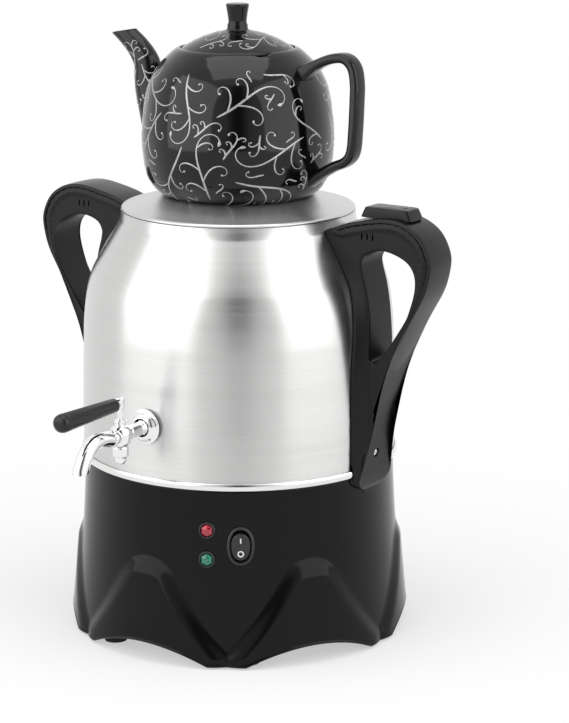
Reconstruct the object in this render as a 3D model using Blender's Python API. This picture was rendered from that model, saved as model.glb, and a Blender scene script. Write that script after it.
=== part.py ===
"""Electric samovar: a steel tank on a black plastic base, with a lever tap, two loop handles and a teapot.

Metres, +Z up. The tap points to -Y, the handles lie along X and the table is at z = 0. Every piece is
made round the tank's own axis, and a parent empty moves that axis so that the whole stands centred.
"""

import math

import bmesh
import bpy
import numpy as np
from mathutils import Matrix, Vector

# Clearances
GAP = 0.0003
OVERRUN = 0.004

# Base housing
HOUSING_HEIGHT = 0.1244
HOUSING_INSET = 0.0009
HOUSING_SPREAD = 0.0092
HOUSING_WALL = 0.003
HOUSING_LEDGE = 0.0055
RIM_LIFT = 0.0012
RIM_ROUND = 0.004
FOOT_COUNT = 6
ARCH_HEIGHT = 0.012
ARCH_HALF_TURN = math.radians(23.5)
BELL_HEIGHT_SHARE = 0.607
BELL_DEPTH = 0.005
BELL_ROOT_SHARE = 0.667
BELL_SQUARE_SHARE = 0.3
BELL_FADE_POWER = 0.35
SPREAD_POWER = 1.5
BELL_EDGE_TURN = math.radians(3.2)
HOUSING_RING_SHARES = (0.12, 0.24, 0.36, 0.46, 0.54, 0.595, 0.64, 0.82)
HOUSING_SEGMENTS = 96

# Bottom cover, its feet and screws
COVER_LIFT = 0.0135
COVER_THICKNESS = 0.0025
COVER_RIM_GAP = 0.001
FOOT_RADIUS = 0.008
FOOT_CIRCLE_SHARE = 0.9
FOOT_HOLLOW_RADIUS = 0.0035
FOOT_HOLLOW_DEPTH = 0.004
BOSS_RADIUS = 0.005
BOSS_HEIGHT = 0.016
BOSS_COUNT = 3
COVER_SCREW_RADIUS = 0.0018
COVER_SCREW_LENGTH = 0.014
COVER_SCREW_HEAD_RADIUS = 0.0035
COVER_SCREW_HEAD_HEIGHT = 0.0022

# Tank, trim ring and what the tank holds
TANK_RADIUS = 0.1112
TANK_HEIGHT = 0.1749
TANK_WALL = 0.0012
TANK_OUTLINE_SHARES = (
    (1.0, 0.0), (1.0, 0.2), (0.9955, 0.325), (0.9892, 0.49), (0.9838, 0.568), (0.9676, 0.659),
    (0.9415, 0.731), (0.912, 0.776), (0.8408, 0.858), (0.7455, 0.959), (0.741, 1.0),
)
TANK_FLOOR_LIFT = 0.0205
TANK_SEGMENTS = 40
RING_HEIGHT = 0.005
RING_PROUD = 0.0014
ELEMENT_RADIUS = 0.0042
ELEMENT_LOOP_RADIUS = 0.07
ELEMENT_LIFT = 0.009
ELEMENT_LEG_DROP = 0.012
ELEMENT_LEG_SPACING = 0.036
ELEMENT_POINTS = 18
GLAND_RADIUS = 0.0085
GLAND_HEIGHT = 0.005
THERMOSTAT_RADIUS = 0.0115
THERMOSTAT_HEIGHT = 0.009
THERMOSTAT_FLANGE_RADIUS = 0.015
THERMOSTAT_FLANGE_HEIGHT = 0.0015
THERMOSTAT_SPACING = 0.042
TERMINAL_BLOCK_SIZE = (0.05, 0.022, 0.02)
TERMINAL_COUNT = 4
TERMINAL_HOLE_RADIUS = 0.003
TERMINAL_HOLE_DEPTH = 0.009

# Mains inlet at the back
INLET_LIFT_SHARE = 0.78
INLET_WIDTH = 0.028
INLET_TALL = 0.02
INLET_DEPTH = 0.02
INLET_WALL = 0.002
INLET_FLANGE_WIDTH = 0.034
INLET_FLANGE_TALL = 0.026
INLET_FLANGE_THICKNESS = 0.002
INLET_PAD_MARGIN = 0.001
PIN_WIDTH = 0.002
PIN_TALL = 0.004
PIN_SPACING = 0.014
PIN_RISE = 0.003
PIN_REACH_SHARE = 0.8

# Lid of the tank
LID_THICKNESS = 0.0016
LID_EDGE_HEIGHT = 0.0022
LID_RISE = 0.0078
LID_SEAT_RADIUS = 0.05
LID_SEAT_DEPTH = 0.0012
LID_SEAT_RIM = 0.002
LID_SKIRT_DEPTH = 0.007
LID_SKIRT_INSET = 0.0036
LID_SEGMENTS = 32
SEAL_HEIGHT = 0.0035

# Handles
HANDLE_OUT = 0.0531
HANDLE_INWARD_SHARE = 1.8437
HANDLE_TOP_RISE = 0.0067
HANDLE_FOOT_DROP = 0.0124
HANDLE_HALF_WIDTH = 0.015
HANDLE_CHAMFER = 0.0012
HANDLE_FLARE = 0.0085
HANDLE_FLARE_REACH = 0.009
HANDLE_FLARE_START_SHARE = 0.3
HANDLE_END_ROUND = 0.012
HANDLE_END_NARROW_SHARE = 0.92
# Outline and hole: share of the way out from the tank's side (or in, below zero), then share of the height
HANDLE_OUTLINE_SHARES = (
    (-0.66, 0.925), (-0.42, 0.952), (-0.24, 0.971), (0.0, 0.987), (0.3, 1.0), (0.545, 0.996),
    (0.75, 0.972), (0.9, 0.934), (1.0, 0.874), (1.0, 0.82), (0.92, 0.742), (0.73, 0.647),
    (0.533, 0.544), (0.367, 0.447), (0.26, 0.363), (0.17, 0.286), (0.11, 0.206), (0.072, 0.113),
    (0.055, 0.05), (0.02, 0.012), (-0.06, 0.0), (-0.14, 0.01), (-0.15, 0.25), (-0.16, 0.5),
    (-0.24, 0.68), (-0.44, 0.81), (-0.64, 0.9),
)
HANDLE_HOLE_SHARES = (
    (0.07, 0.868), (0.28, 0.885), (0.487, 0.876), (0.69, 0.85), (0.795, 0.805), (0.787, 0.746),
    (0.69, 0.67), (0.505, 0.587), (0.34, 0.52), (0.21, 0.487), (0.135, 0.495), (0.13, 0.563),
    (0.11, 0.66), (0.06, 0.742), (-0.005, 0.805), (-0.012, 0.838),
)
HANDLE_LOOP_SHARES = (0.0, 0.07, 0.5, 0.93, 1.0)
HANDLE_SAMPLES = 48
VENT_COUNT = 3
VENT_WIDTH = 0.0012
VENT_TALL = 0.005
VENT_SPACING = 0.0043
VENT_DEPTH = 0.002
VENT_PLACE_SHARES = (0.24, 0.912)

# Cover strip on the outside of each handle
STRIP_THICKNESS = 0.0028
STRIP_CHAMFER = 0.0008
STRIP_END_ROUND = 0.006
STRIP_END_NARROW_SHARE = 0.6
STRIP_END_WIDTH_SHARE = 0.9
STRIP_TAPER_START_SHARE = 0.45
STRIP_START_SHARE = 0.045
STRIP_END_SHARE = 0.765
STRIP_SAMPLES = 33
SCREW_RADIUS = 0.0015
SCREW_HEAD_RADIUS = 0.0028
SCREW_HEAD_HEIGHT = 0.0018
SCREW_SINK = 0.0006
UPPER_SCREW_SHARE = 0.74
UPPER_SCREW_REACH_SHARE = 0.64
LOWER_SCREW_SHARE = 0.897
NUT_RADIUS = 0.0036
NUT_HEIGHT = 0.0026

# Lid-lock slider on the right handle
SLIDER_LENGTH = 0.0405
SLIDER_WIDTH = 0.018
SLIDER_HEIGHT = 0.0072
SLIDER_END_SLOPE = 0.0036
SLIDER_START_SHARE = -0.105
SLIDER_TRAVEL = 0.005
SLIDER_BED_DROP = 0.0018
SLIDER_STEM_WIDTH = 0.005
SLIDER_STEM_LENGTH = 0.016
SLIDER_FOOT_WIDTH = 0.01
SLIDER_FOOT_HEIGHT = 0.002
SLIDER_PLAY = 0.0004

# Controls on the housing
CONTROL_TURN = math.radians(34.8)
LAMP_TURN = math.radians(23.0)
SWITCH_LIFT_SHARE = 0.69
SWITCH_WIDTH = 0.0193
SWITCH_TALL = 0.0274
SWITCH_SQUARENESS = 2.25
SWITCH_SIDES = 28
SWITCH_FRAME = 0.0032
SWITCH_PROUD = 0.0016
SWITCH_SINK = 0.001
SWITCH_DEPTH = 0.018
ROCKER_PLAY = 0.0005
ROCKER_TILT = math.radians(8.0)
ROCKER_PROUD = 0.0022
ROCKER_BACK = 0.006
ROCKER_BACK_SHARE = 0.6
ROCKER_END_SHARE = 0.97
ROCKER_DIP_SHARE = 0.45
LAMP_LIFT_SHARES = (0.775, 0.612)
LAMP_RADIUS = 0.006
LAMP_PROUD = 0.0014
LAMP_SINK = 0.001
LAMP_WALL = 0.0012
LAMP_BARREL_RADIUS = 0.0049
LAMP_DEPTH = 0.012
LENS_DOME = 0.0012

# Tap
TAP_LIFT = 0.0408
TAP_REACH = 0.0293
TAP_SHANK_RADIUS = 0.006
TAP_SHANK_DEPTH = 0.014
TAP_BORE_RADIUS = 0.0024
TAP_BALL_RADIUS = 0.0073
TAP_BALL_HEIGHT = 0.0135
TAP_NECK_RADIUS = 0.0042
ROSETTE_RADIUS = 0.0122
ROSETTE_THICKNESS = 0.0032
ROSETTE_HUB_RADIUS = 0.0058
ROSETTE_HUB_HEIGHT = 0.0064
WASHER_THICKNESS = 0.0008
LOCK_NUT_RADIUS = 0.0105
LOCK_NUT_HEIGHT = 0.005
PLUG_RADIUS = 0.004
PLUG_PLAY = 0.00015
COLLAR_RADIUS = 0.0037
COLLAR_HEIGHT = 0.004
STEM_RADIUS = 0.0018
SLEEVE_RADIUS = 0.0029
SLEEVE_HEIGHT = 0.0085
LEVER_LIFT = 0.0225
LEVER_LENGTH = 0.0665
LEVER_ROD_RADIUS = 0.0017
GRIP_START = 0.0055
GRIP_RADIUS = 0.0047
GRIP_END_RADIUS = 0.0064
TAP_TURN = math.radians(90.0)
SPOUT_RADIUS = 0.0054
SPOUT_BORE_RADIUS = 0.0028
SPOUT_OUT = 0.0445
SPOUT_DROP = 0.0162
SPOUT_ROOT_SHARE = 0.75
SPOUT_BEND_SHARES = ((0.48, 0.3), (0.79, 0.09))
SPOUT_STEPS = 9
CAP_RADIUS = 0.0054
CAP_HEIGHT = 0.0125
CAP_TIP_RADIUS = 0.0035

# Teapot
POT_RADIUS = 0.067
POT_HEIGHT = 0.1028
POT_WALL = 0.0032
POT_OUTLINE_SHARES = (
    (0.64, 0.0), (0.72, 0.015), (0.84, 0.065), (0.93, 0.14), (0.982, 0.24), (1.0, 0.37), (0.992, 0.48),
    (0.96, 0.58), (0.9, 0.69), (0.82, 0.8), (0.74, 0.9), (0.69, 0.96), (0.645, 1.0),
)
POT_FOOT_RADIUS_SHARE = 0.58
POT_FOOT_DEPTH = 0.002
POT_MOUTH_SHARE = 0.6
POT_SEGMENTS = 28
POT_LEDGE_SHARE = 0.545
POT_LEDGE_DROP = 0.0022
POT_SPOUT_REACH = 0.0975
POT_SPOUT_ROOT_RADIUS = 0.0165
POT_SPOUT_TIP_RADIUS = 0.0085
POT_SPOUT_BORE_SHARE = 0.6
POT_SPOUT_WAY_SHARES = ((0.42, 0.27), (0.66, 0.36), (0.8, 0.56), (0.86, 0.78), (0.93, 0.95), (1.04, 1.075))
POT_SPOUT_STEPS = 8
POT_GRIP_REACH = 0.1037
POT_GRIP_WAY_SHARES = (
    (0.45, 0.8), (0.64, 0.9), (0.76, 0.965), (0.86, 0.985), (0.945, 0.93), (0.965, 0.8), (0.965, 0.6),
    (0.95, 0.42), (0.895, 0.335), (0.79, 0.285), (0.68, 0.22), (0.56, 0.16),
)
POT_GRIP_THICKNESS = 0.0072
POT_GRIP_WIDTH = 0.015
POT_GRIP_STEPS = 20
POT_FLOOR_SHARE = 0.9
POT_LID_DOME = 0.0105
POT_LID_EDGE = 0.0022
POT_LID_PLUG_DEPTH = 0.009
KNOB_TOP_RADIUS = 0.008
KNOB_NECK_RADIUS = 0.0062
KNOB_HEIGHT = 0.0205
KNOB_DOME = 0.0012

# Heights and places that follow from the sizes above
TANK_FOOT_Z = HOUSING_HEIGHT + GAP
TANK_TOP_Z = TANK_FOOT_Z + TANK_HEIGHT
TANK_FLOOR_Z = TANK_FOOT_Z + TANK_FLOOR_LIFT
NECK_RADIUS = TANK_RADIUS * TANK_OUTLINE_SHARES[-1][0]
HANDLE_INWARD = HANDLE_INWARD_SHARE * (TANK_RADIUS - NECK_RADIUS)
HOUSING_TOP_RADIUS = TANK_RADIUS - HOUSING_INSET
LID_FOOT_Z = TANK_TOP_Z + GAP
LID_TOP_Z = LID_FOOT_Z + LID_EDGE_HEIGHT + LID_RISE
POT_FOOT_Z = LID_TOP_Z - LID_SEAT_DEPTH + GAP
POT_TOP_Z = POT_FOOT_Z + POT_HEIGHT
TAP_Z = TANK_FOOT_Z + TAP_LIFT
TAP_Y = -(TANK_RADIUS + TAP_REACH)
BELL_HEIGHT = HOUSING_HEIGHT * BELL_HEIGHT_SHARE
HANDLE_FOOT_Z = TANK_FOOT_Z - HANDLE_FOOT_DROP
HANDLE_TOP_Z = TANK_TOP_Z + HANDLE_TOP_RISE
COVER_Z = COVER_LIFT + COVER_THICKNESS
HOUSING_FOOT_RADIUS = HOUSING_TOP_RADIUS + HOUSING_SPREAD


# Small maths


def along_curve(points, count, closed=False):
    """Places evenly spaced along a smooth curve through the points: each stretch is a Hermite cubic."""
    points = np.asarray(points, float)
    if closed:
        before, after = np.roll(points, 1, axis=0), np.roll(points, -1, axis=0)
        slopes = (after - before) / 2
        points = np.vstack([points, points[:1]])
        slopes = np.vstack([slopes, slopes[:1]])
    else:
        slopes = np.gradient(points, axis=0)
    fine = []
    for start, end, leave, arrive in zip(points[:-1], points[1:], slopes[:-1], slopes[1:]):
        t = np.linspace(0, 1, 24, endpoint=False)[:, None]
        fine.append(
            (2 * t**3 - 3 * t**2 + 1) * start + (t**3 - 2 * t**2 + t) * leave
            + (3 * t**2 - 2 * t**3) * end + (t**3 - t**2) * arrive
        )
    fine = np.vstack(fine + [points[-1:]])
    steps = np.linalg.norm(np.diff(fine, axis=0), axis=1)
    length = np.concatenate([[0], np.cumsum(steps)])
    places = np.linspace(0, length[-1], count, endpoint=not closed)
    return np.column_stack([np.interp(places, length, fine[:, axis]) for axis in range(fine.shape[1])])


def smooth_step(share):
    """0 up to 0, 1 from 1 on, and an even S between."""
    share = np.clip(share, 0, 1)
    return share * share * (3 - 2 * share)


def pushed_out(outline, distance):
    """An open outline of (radius, height) moved to its right by a distance, which is outwards going up."""
    outline = np.asarray(outline, float)
    way = np.gradient(outline, axis=0)
    way /= np.linalg.norm(way, axis=1)[:, None]
    return outline + distance * np.column_stack([way[:, 1], -way[:, 0]])


# Making objects


def make_material(name, colour, roughness, metallic):
    material = bpy.data.materials.new(name)
    material.use_nodes = True
    shader = material.node_tree.nodes["Principled BSDF"]
    shader.inputs["Base Color"].default_value = (*colour, 1)
    shader.inputs["Roughness"].default_value = roughness
    shader.inputs["Metallic"].default_value = metallic
    material.diffuse_color = (*colour, 1)
    return material


def make_materials():
    return {
        "black_plastic": make_material("black_plastic", (0.015, 0.015, 0.016), 0.3, 0),
        "soft_black": make_material("soft_black", (0.03, 0.03, 0.032), 0.45, 0),
        "steel": make_material("steel", (0.6, 0.59, 0.58), 0.32, 1),
        "chrome": make_material("chrome", (0.8, 0.8, 0.8), 0.08, 1),
        "brass": make_material("brass", (0.6, 0.45, 0.2), 0.3, 1),
        "rubber": make_material("rubber", (0.02, 0.02, 0.02), 0.8, 0),
        "silicone": make_material("silicone", (0.7, 0.7, 0.68), 0.6, 0),
        "glaze": make_material("glaze", (0.01, 0.01, 0.012), 0.06, 0),
        "red_lens": make_material("red_lens", (0.5, 0.01, 0.02), 0.15, 0),
        "green_lens": make_material("green_lens", (0.01, 0.3, 0.14), 0.15, 0),
    }


def add_object(name, mesh, material, parent, matrix=Matrix(), helper=False):
    piece = bpy.data.objects.new(name, mesh)
    bpy.context.scene.collection.objects.link(piece)
    piece.parent = parent
    piece.matrix_basis = matrix
    if material:
        mesh.materials.append(material)
    if helper:
        piece.hide_render = True
        piece.display_type = "WIRE"
    return piece


def closed_mesh(name, points, faces):
    """A mesh whose double points are merged and whose faces point outwards."""
    work = bmesh.new()
    corners = [work.verts.new(point) for point in points]
    for face in faces:
        if len(set(face)) > 2:
            work.faces.new([corners[index] for index in face])
    bmesh.ops.remove_doubles(work, verts=work.verts, dist=GAP / 100)
    bmesh.ops.triangulate(work, faces=work.faces)
    bmesh.ops.recalc_face_normals(work, faces=work.faces)
    if work.calc_volume(signed=True) < 0:
        bmesh.ops.reverse_faces(work, faces=work.faces)
    mesh = bpy.data.meshes.new(name)
    work.to_mesh(mesh)
    work.free()
    mesh.shade_smooth()
    mesh.set_sharp_from_angle(angle=math.radians(35))
    return mesh


def grid_mesh(name, grid, wrap_rows, wrap_columns, cap_rows=False):
    """A mesh over a grid of points, rows by columns, joined round where it wraps."""
    rows, columns = grid.shape[:2]
    faces = []
    for row in range(rows if wrap_rows else rows - 1):
        for column in range(columns if wrap_columns else columns - 1):
            next_row, next_column = (row + 1) % rows, (column + 1) % columns
            faces.append((
                row * columns + column, row * columns + next_column,
                next_row * columns + next_column, next_row * columns + column,
            ))
    if cap_rows:
        faces.append(tuple(range(columns)))
        faces.append(tuple(range((rows - 1) * columns, rows * columns)))
    return closed_mesh(name, grid.reshape(-1, 3), faces)


def turned_mesh(name, outline, segments, closed=True):
    """An outline of (radius, height) turned round Z: a closed ring of points, or a line from axis to axis."""
    outline = np.asarray(outline, float)
    turns = np.arange(segments) * 2 * math.pi / segments
    grid = np.stack([
        outline[:, :1] * np.sin(turns), -outline[:, :1] * np.cos(turns),
        np.repeat(outline[:, 1:2], segments, axis=1),
    ], axis=2)
    return grid_mesh(name, grid, closed, True)


def rod_mesh(name, stages, segments):
    """A stepped round rod along Z: stages are (radius, height), from one end to the other."""
    outline = [(0, stages[0][1]), *stages, (0, stages[-1][1])]
    return turned_mesh(name, outline, segments, closed=False)


def prism_mesh(name, outline, low, high):
    """A flat outline of (x, y) carried from one height to another."""
    count = len(outline)
    points = [(x, y, low) for x, y in outline] + [(x, y, high) for x, y in outline]
    faces = [tuple(range(count)), tuple(range(count, 2 * count))]
    for index in range(count):
        after = (index + 1) % count
        faces.append((index, after, count + after, count + index))
    return closed_mesh(name, points, faces)


def box_mesh(name, low, high):
    outline = ((low[0], low[1]), (high[0], low[1]), (high[0], high[1]), (low[0], high[1]))
    return prism_mesh(name, outline, low[2], high[2])


def polygon(radius, sides):
    return [
        (radius * math.cos(2 * math.pi * side / sides), radius * math.sin(2 * math.pi * side / sides))
        for side in range(sides)
    ]


def swept_grid(way, sides_at):
    """Cross-sections carried along a way in the plane of X and Z: sides_at gives each one's (across, off)."""
    way = np.asarray(way, float)
    ahead = np.gradient(way, axis=0)
    ahead /= np.linalg.norm(ahead, axis=1)[:, None]
    rows = []
    for index, (place, direction) in enumerate(zip(way, ahead)):
        off = np.array([direction[1], -direction[0]])
        section = np.asarray(sides_at(index), float)
        rows.append(np.column_stack([
            place[0] + section[:, 1] * off[0], section[:, 0], place[1] + section[:, 1] * off[1],
        ]))
    return np.stack(rows)


def oval(half_across, half_off, count, power=2.0):
    """A rounded section: power 2 is an ellipse, more is squarer."""
    turns = np.arange(count) * 2 * math.pi / count
    across = np.sign(np.cos(turns)) * np.abs(np.cos(turns)) ** (2 / power) * half_across
    off = np.sign(np.sin(turns)) * np.abs(np.sin(turns)) ** (2 / power) * half_off
    return np.column_stack([across, off])


def add_boolean(piece, cutter, operation="DIFFERENCE"):
    modifier = piece.modifiers.new(f"{operation.lower()}_{cutter.name}", "BOOLEAN")
    modifier.operation = operation
    modifier.solver = "EXACT"
    modifier.object = cutter


def cut(piece, name, mesh, matrix=Matrix()):
    """Cuts a helper shape, in the tank's frame, out of a piece."""
    cutter = add_object(name, mesh, None, piece.parent, matrix, helper=True)
    add_boolean(piece, cutter)
    return cutter


def join(piece, name, mesh, matrix=Matrix()):
    """Joins a helper shape to a piece."""
    helper = add_object(name, mesh, None, piece.parent, matrix, helper=True)
    add_boolean(piece, helper, "UNION")
    return helper


def facing_out(turn, radius, height, tilt=0.0):
    """A frame on the wall: Z points out, Y up and X along the wall. The turn is counted from the tap."""
    out = Matrix.Rotation(turn, 4, "Z") @ Matrix.Translation((0, -radius, height))
    return out @ Matrix.Rotation(math.pi / 2 - tilt, 4, "X")


# Shapes that several pieces share


def housing_radius(turn, height):
    """Outside of the housing: a gentle spread to the feet, and a raised bell over each arch."""
    down = 1 - np.clip(height / HOUSING_HEIGHT, 0, 1)
    radius = HOUSING_TOP_RADIUS + HOUSING_SPREAD * down**SPREAD_POWER
    pitch = 2 * math.pi / FOOT_COUNT
    off_arch = np.abs((turn + pitch / 2) % pitch - pitch / 2)
    fall = np.clip(1 - height / BELL_HEIGHT, 0, 1)
    half_bell = pitch / 2 * (BELL_ROOT_SHARE * np.sqrt(fall) + BELL_SQUARE_SHARE * fall**2)
    raised = smooth_step((half_bell - off_arch) / BELL_EDGE_TURN) * (fall > 0)
    return radius + BELL_DEPTH * raised * fall**BELL_FADE_POWER


def arch_height(turn):
    pitch = 2 * math.pi / FOOT_COUNT
    off_arch = np.abs((turn + pitch / 2) % pitch - pitch / 2)
    return RIM_LIFT + ARCH_HEIGHT * np.clip(1 - (off_arch / ARCH_HALF_TURN) ** 2, 0, 1)


def housing_slope(height):
    """How far the plain wall leans back at a height, as an angle."""
    reach = HOUSING_WALL
    change = housing_radius(0.5, np.array([height - reach, height + reach]))
    return math.atan2(change[0] - change[1], 2 * reach)


def tank_outline():
    """Outside of the tank from its lower edge to its neck."""
    shares = np.array(TANK_OUTLINE_SHARES)
    return np.column_stack([shares[:, 0] * TANK_RADIUS, TANK_FOOT_Z + shares[:, 1] * TANK_HEIGHT])


def tank_radius(height):
    outline = tank_outline()
    return np.interp(height, outline[:, 1], outline[:, 0])


def clearance_mesh(name):
    """What a handle keeps clear of: the tank, its trim ring and the housing, all GAP larger."""
    tank = pushed_out(tank_outline(), GAP)
    tank[0, 1] = TANK_FOOT_Z + RING_HEIGHT + GAP
    tank[-1, 1] = HANDLE_TOP_Z + OVERRUN
    ring = TANK_RADIUS + RING_PROUD + 2 * GAP
    base_z = TANK_FOOT_Z - GAP
    low_z = HANDLE_FOOT_Z - OVERRUN
    low = HOUSING_TOP_RADIUS + HOUSING_SPREAD * (1 - low_z / HOUSING_HEIGHT) ** SPREAD_POWER + 2 * GAP
    outline = [(low, low_z), (HOUSING_TOP_RADIUS + 2 * GAP, base_z), (ring, base_z), (ring, tank[0, 1])]
    return rod_mesh(name, outline + [tuple(point) for point in tank], TANK_SEGMENTS)


def handle_points(shares):
    """Places in the handle's plane, as (distance from the tank's axis, height)."""
    shares = np.array(shares)
    out = TANK_RADIUS + shares[:, 0] * np.where(shares[:, 0] < 0, HANDLE_INWARD, HANDLE_OUT)
    return np.column_stack([out, HANDLE_FOOT_Z + shares[:, 1] * (HANDLE_TOP_Z - HANDLE_FOOT_Z)])


def handle_half_width(out, height):
    """Half the handle's width: it flares where it lies on the tank and is rounded at its lower end."""
    middle = (HANDLE_TOP_Z + HANDLE_FOOT_Z) / 2
    down = (HANDLE_TOP_Z - height) / (HANDLE_TOP_Z - middle)
    flare = HANDLE_FLARE * smooth_step(down - HANDLE_FLARE_START_SHARE)
    near = np.clip(1 - (out - tank_radius(height)) / HANDLE_FLARE_REACH, 0, 1)
    end = (HANDLE_FOOT_Z + HANDLE_END_ROUND - height) / HANDLE_END_ROUND
    end = np.clip(end, 0, HANDLE_END_NARROW_SHARE)
    return (HANDLE_HALF_WIDTH + flare * near) * np.sqrt(1 - end**2)


def strip_way(count):
    """The handle's outer edge, from its upper inner end to its lower end."""
    outline = handle_points(HANDLE_OUTLINE_SHARES[:21])
    return along_curve(outline, count)


def strip_half_width(share):
    """Half the cover strip's width: full over the bend, narrower below, with a round end."""
    taper = smooth_step((share - STRIP_TAPER_START_SHARE) / (1 - STRIP_TAPER_START_SHARE))
    return HANDLE_HALF_WIDTH * (1 - (1 - STRIP_END_WIDTH_SHARE) * taper)


def strip_mesh(name, side, clearance=0.0, outwards=0.0):
    """The cover strip, or the pocket it lies in when given a clearance."""
    whole = strip_way(240)
    first, last = int(STRIP_START_SHARE * 240), int(STRIP_END_SHARE * 240)
    way = along_curve(whole[first:last], STRIP_SAMPLES)
    steps = np.linalg.norm(np.diff(way, axis=0), axis=1)
    left = np.concatenate([np.cumsum(steps[::-1])[::-1], [0]])
    total = left[0]

    def section(index):
        half = strip_half_width(1 - left[index] / total)
        round_off = np.clip(1 - left[index] / STRIP_END_ROUND, 0, STRIP_END_NARROW_SHARE)
        half = half * math.sqrt(1 - round_off**2) + clearance
        if index == 0 or index == STRIP_SAMPLES - 1:
            half = half if clearance else half - STRIP_CHAMFER
        edge, top = STRIP_CHAMFER, outwards
        low = -STRIP_THICKNESS - clearance
        if clearance:
            return [(-half, low), (-half, top), (half, top), (half, low)]
        return [(-half, low), (-half, -edge), (-half + edge, 0), (half - edge, 0), (half, -edge), (half, low)]

    if clearance:
        way[-1] += (way[-1] - way[-2]) / np.linalg.norm(way[-1] - way[-2]) * clearance
        way[0] -= (way[1] - way[0]) / np.linalg.norm(way[1] - way[0]) * OVERRUN
    grid = swept_grid(way, lambda index: [(across, -off) for across, off in section(index)])
    grid[:, :, 0] *= side
    return grid_mesh(name, grid, False, True, cap_rows=True)


def edge_frame(share, side):
    """A frame on the handle's outer edge at a share of its way: Z points out of the plastic."""
    way = strip_way(200)
    index = int(round(share * (len(way) - 1)))
    ahead = way[index + 1] - way[index - 1]
    ahead /= np.linalg.norm(ahead)
    out = Vector((-side * ahead[1], 0, ahead[0]))
    place = Vector((side * way[index][0], 0, way[index][1]))
    turn = out.to_track_quat("Z", "Y").to_matrix().to_4x4()
    return Matrix.Translation(place) @ turn


# Base


def make_housing(frame, materials):
    turns = np.arange(HOUSING_SEGMENTS) * 2 * math.pi / HOUSING_SEGMENTS
    low = arch_height(turns)
    inner_low = low
    rings = []

    def ring(radius, height):
        height = np.broadcast_to(height, turns.shape)
        rings.append(np.column_stack([radius * np.sin(turns), -radius * np.cos(turns), height]))

    ledge_z = HOUSING_HEIGHT - HOUSING_WALL
    ring(housing_radius(turns, low) - RIM_ROUND / 3, low)
    ring(housing_radius(turns, low + RIM_ROUND), low + RIM_ROUND)
    for share in HOUSING_RING_SHARES:
        height = np.maximum(share * HOUSING_HEIGHT, low + RIM_ROUND * (1 + share))
        ring(housing_radius(turns, height), height)
    ring(housing_radius(turns, HOUSING_HEIGHT), HOUSING_HEIGHT)
    ring(HOUSING_TOP_RADIUS - HOUSING_WALL - HOUSING_LEDGE, HOUSING_HEIGHT)
    ring(HOUSING_TOP_RADIUS - HOUSING_WALL - HOUSING_LEDGE, ledge_z)
    ring(housing_radius(turns, ledge_z) - HOUSING_WALL, ledge_z)
    for share in HOUSING_RING_SHARES[4::-3]:
        height = np.maximum(share * HOUSING_HEIGHT, low + RIM_ROUND * (1 + share))
        ring(housing_radius(turns, height) - HOUSING_WALL, height)
    ring(housing_radius(turns, low) - HOUSING_WALL, inner_low)
    mesh = grid_mesh("housing", np.stack(rings), True, True)
    housing = add_object("housing", mesh, materials["black_plastic"], frame)
    for number in range(BOSS_COUNT):
        join(housing, f"boss_shape_{number + 1}", boss_mesh(), boss_place(number))
        join(housing, f"boss_web_{number + 1}", web_mesh(), boss_place(number))
    return housing


def boss_mesh():
    """A screw boss with a blind hole, which stands just above the bottom cover."""
    low, high = COVER_Z + GAP, COVER_Z + GAP + BOSS_HEIGHT
    hole = COVER_SCREW_RADIUS + GAP
    hole_top = COVER_LIFT + COVER_SCREW_LENGTH + GAP
    outline = [
        (0, high), (BOSS_RADIUS, high), (BOSS_RADIUS, low), (hole, low), (hole, hole_top), (0, hole_top),
    ]
    return turned_mesh("boss_shape", outline, 14, closed=False)


def web_mesh():
    """The web that ties a boss to the middle of the wall."""
    wall = float(housing_radius(math.pi / FOOT_COUNT, COVER_Z + BOSS_HEIGHT / 2)) - HOUSING_WALL / 2
    web = wall - boss_circle()
    near = (BOSS_RADIUS + COVER_SCREW_RADIUS + GAP) / 2
    low, high = COVER_Z + 2 * GAP, COVER_Z + BOSS_HEIGHT
    return box_mesh("boss_web", (-HOUSING_WALL / 2, -web, low), (HOUSING_WALL / 2, -near, high))


def boss_circle():
    return HOUSING_FOOT_RADIUS - HOUSING_WALL - BOSS_RADIUS - COVER_RIM_GAP * 3


def boss_place(number):
    """Bosses stand over every other foot, on the side away from the controls."""
    turn = math.pi / FOOT_COUNT + (2 * number + 1) * 2 * math.pi / FOOT_COUNT
    return Matrix.Rotation(turn, 4, "Z") @ Matrix.Translation((0, -boss_circle(), 0))


def make_bottom_cover(frame, materials):
    turns = np.arange(HOUSING_SEGMENTS // 2) * 4 * math.pi / HOUSING_SEGMENTS
    radius = housing_radius(turns, COVER_LIFT) - HOUSING_WALL - COVER_RIM_GAP
    radius = np.minimum(radius, HOUSING_FOOT_RADIUS - HOUSING_WALL - COVER_RIM_GAP * 2)
    outline = [(r * math.sin(turn), -r * math.cos(turn)) for r, turn in zip(radius, turns)]
    mesh = prism_mesh("bottom_cover", outline, COVER_LIFT, COVER_Z)
    cover = add_object("bottom_cover", mesh, materials["black_plastic"], frame)
    for number in range(BOSS_COUNT):
        radius = COVER_SCREW_RADIUS + GAP
        hole = rod_mesh("cover_hole", [(radius, COVER_LIFT - OVERRUN), (radius, COVER_Z + OVERRUN)], 12)
        cut(cover, f"cover_hole_{number + 1}", hole, boss_place(number))
        stages = [
            (COVER_SCREW_HEAD_RADIUS, COVER_LIFT - GAP - COVER_SCREW_HEAD_HEIGHT),
            (COVER_SCREW_HEAD_RADIUS, COVER_LIFT - GAP),
            (COVER_SCREW_RADIUS, COVER_LIFT - GAP),
            (COVER_SCREW_RADIUS, COVER_LIFT + COVER_SCREW_LENGTH),
        ]
        screw = rod_mesh("cover_screw", stages, 12)
        add_object(f"cover_screw_{number + 1}", screw, materials["steel"], frame, boss_place(number))


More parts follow.
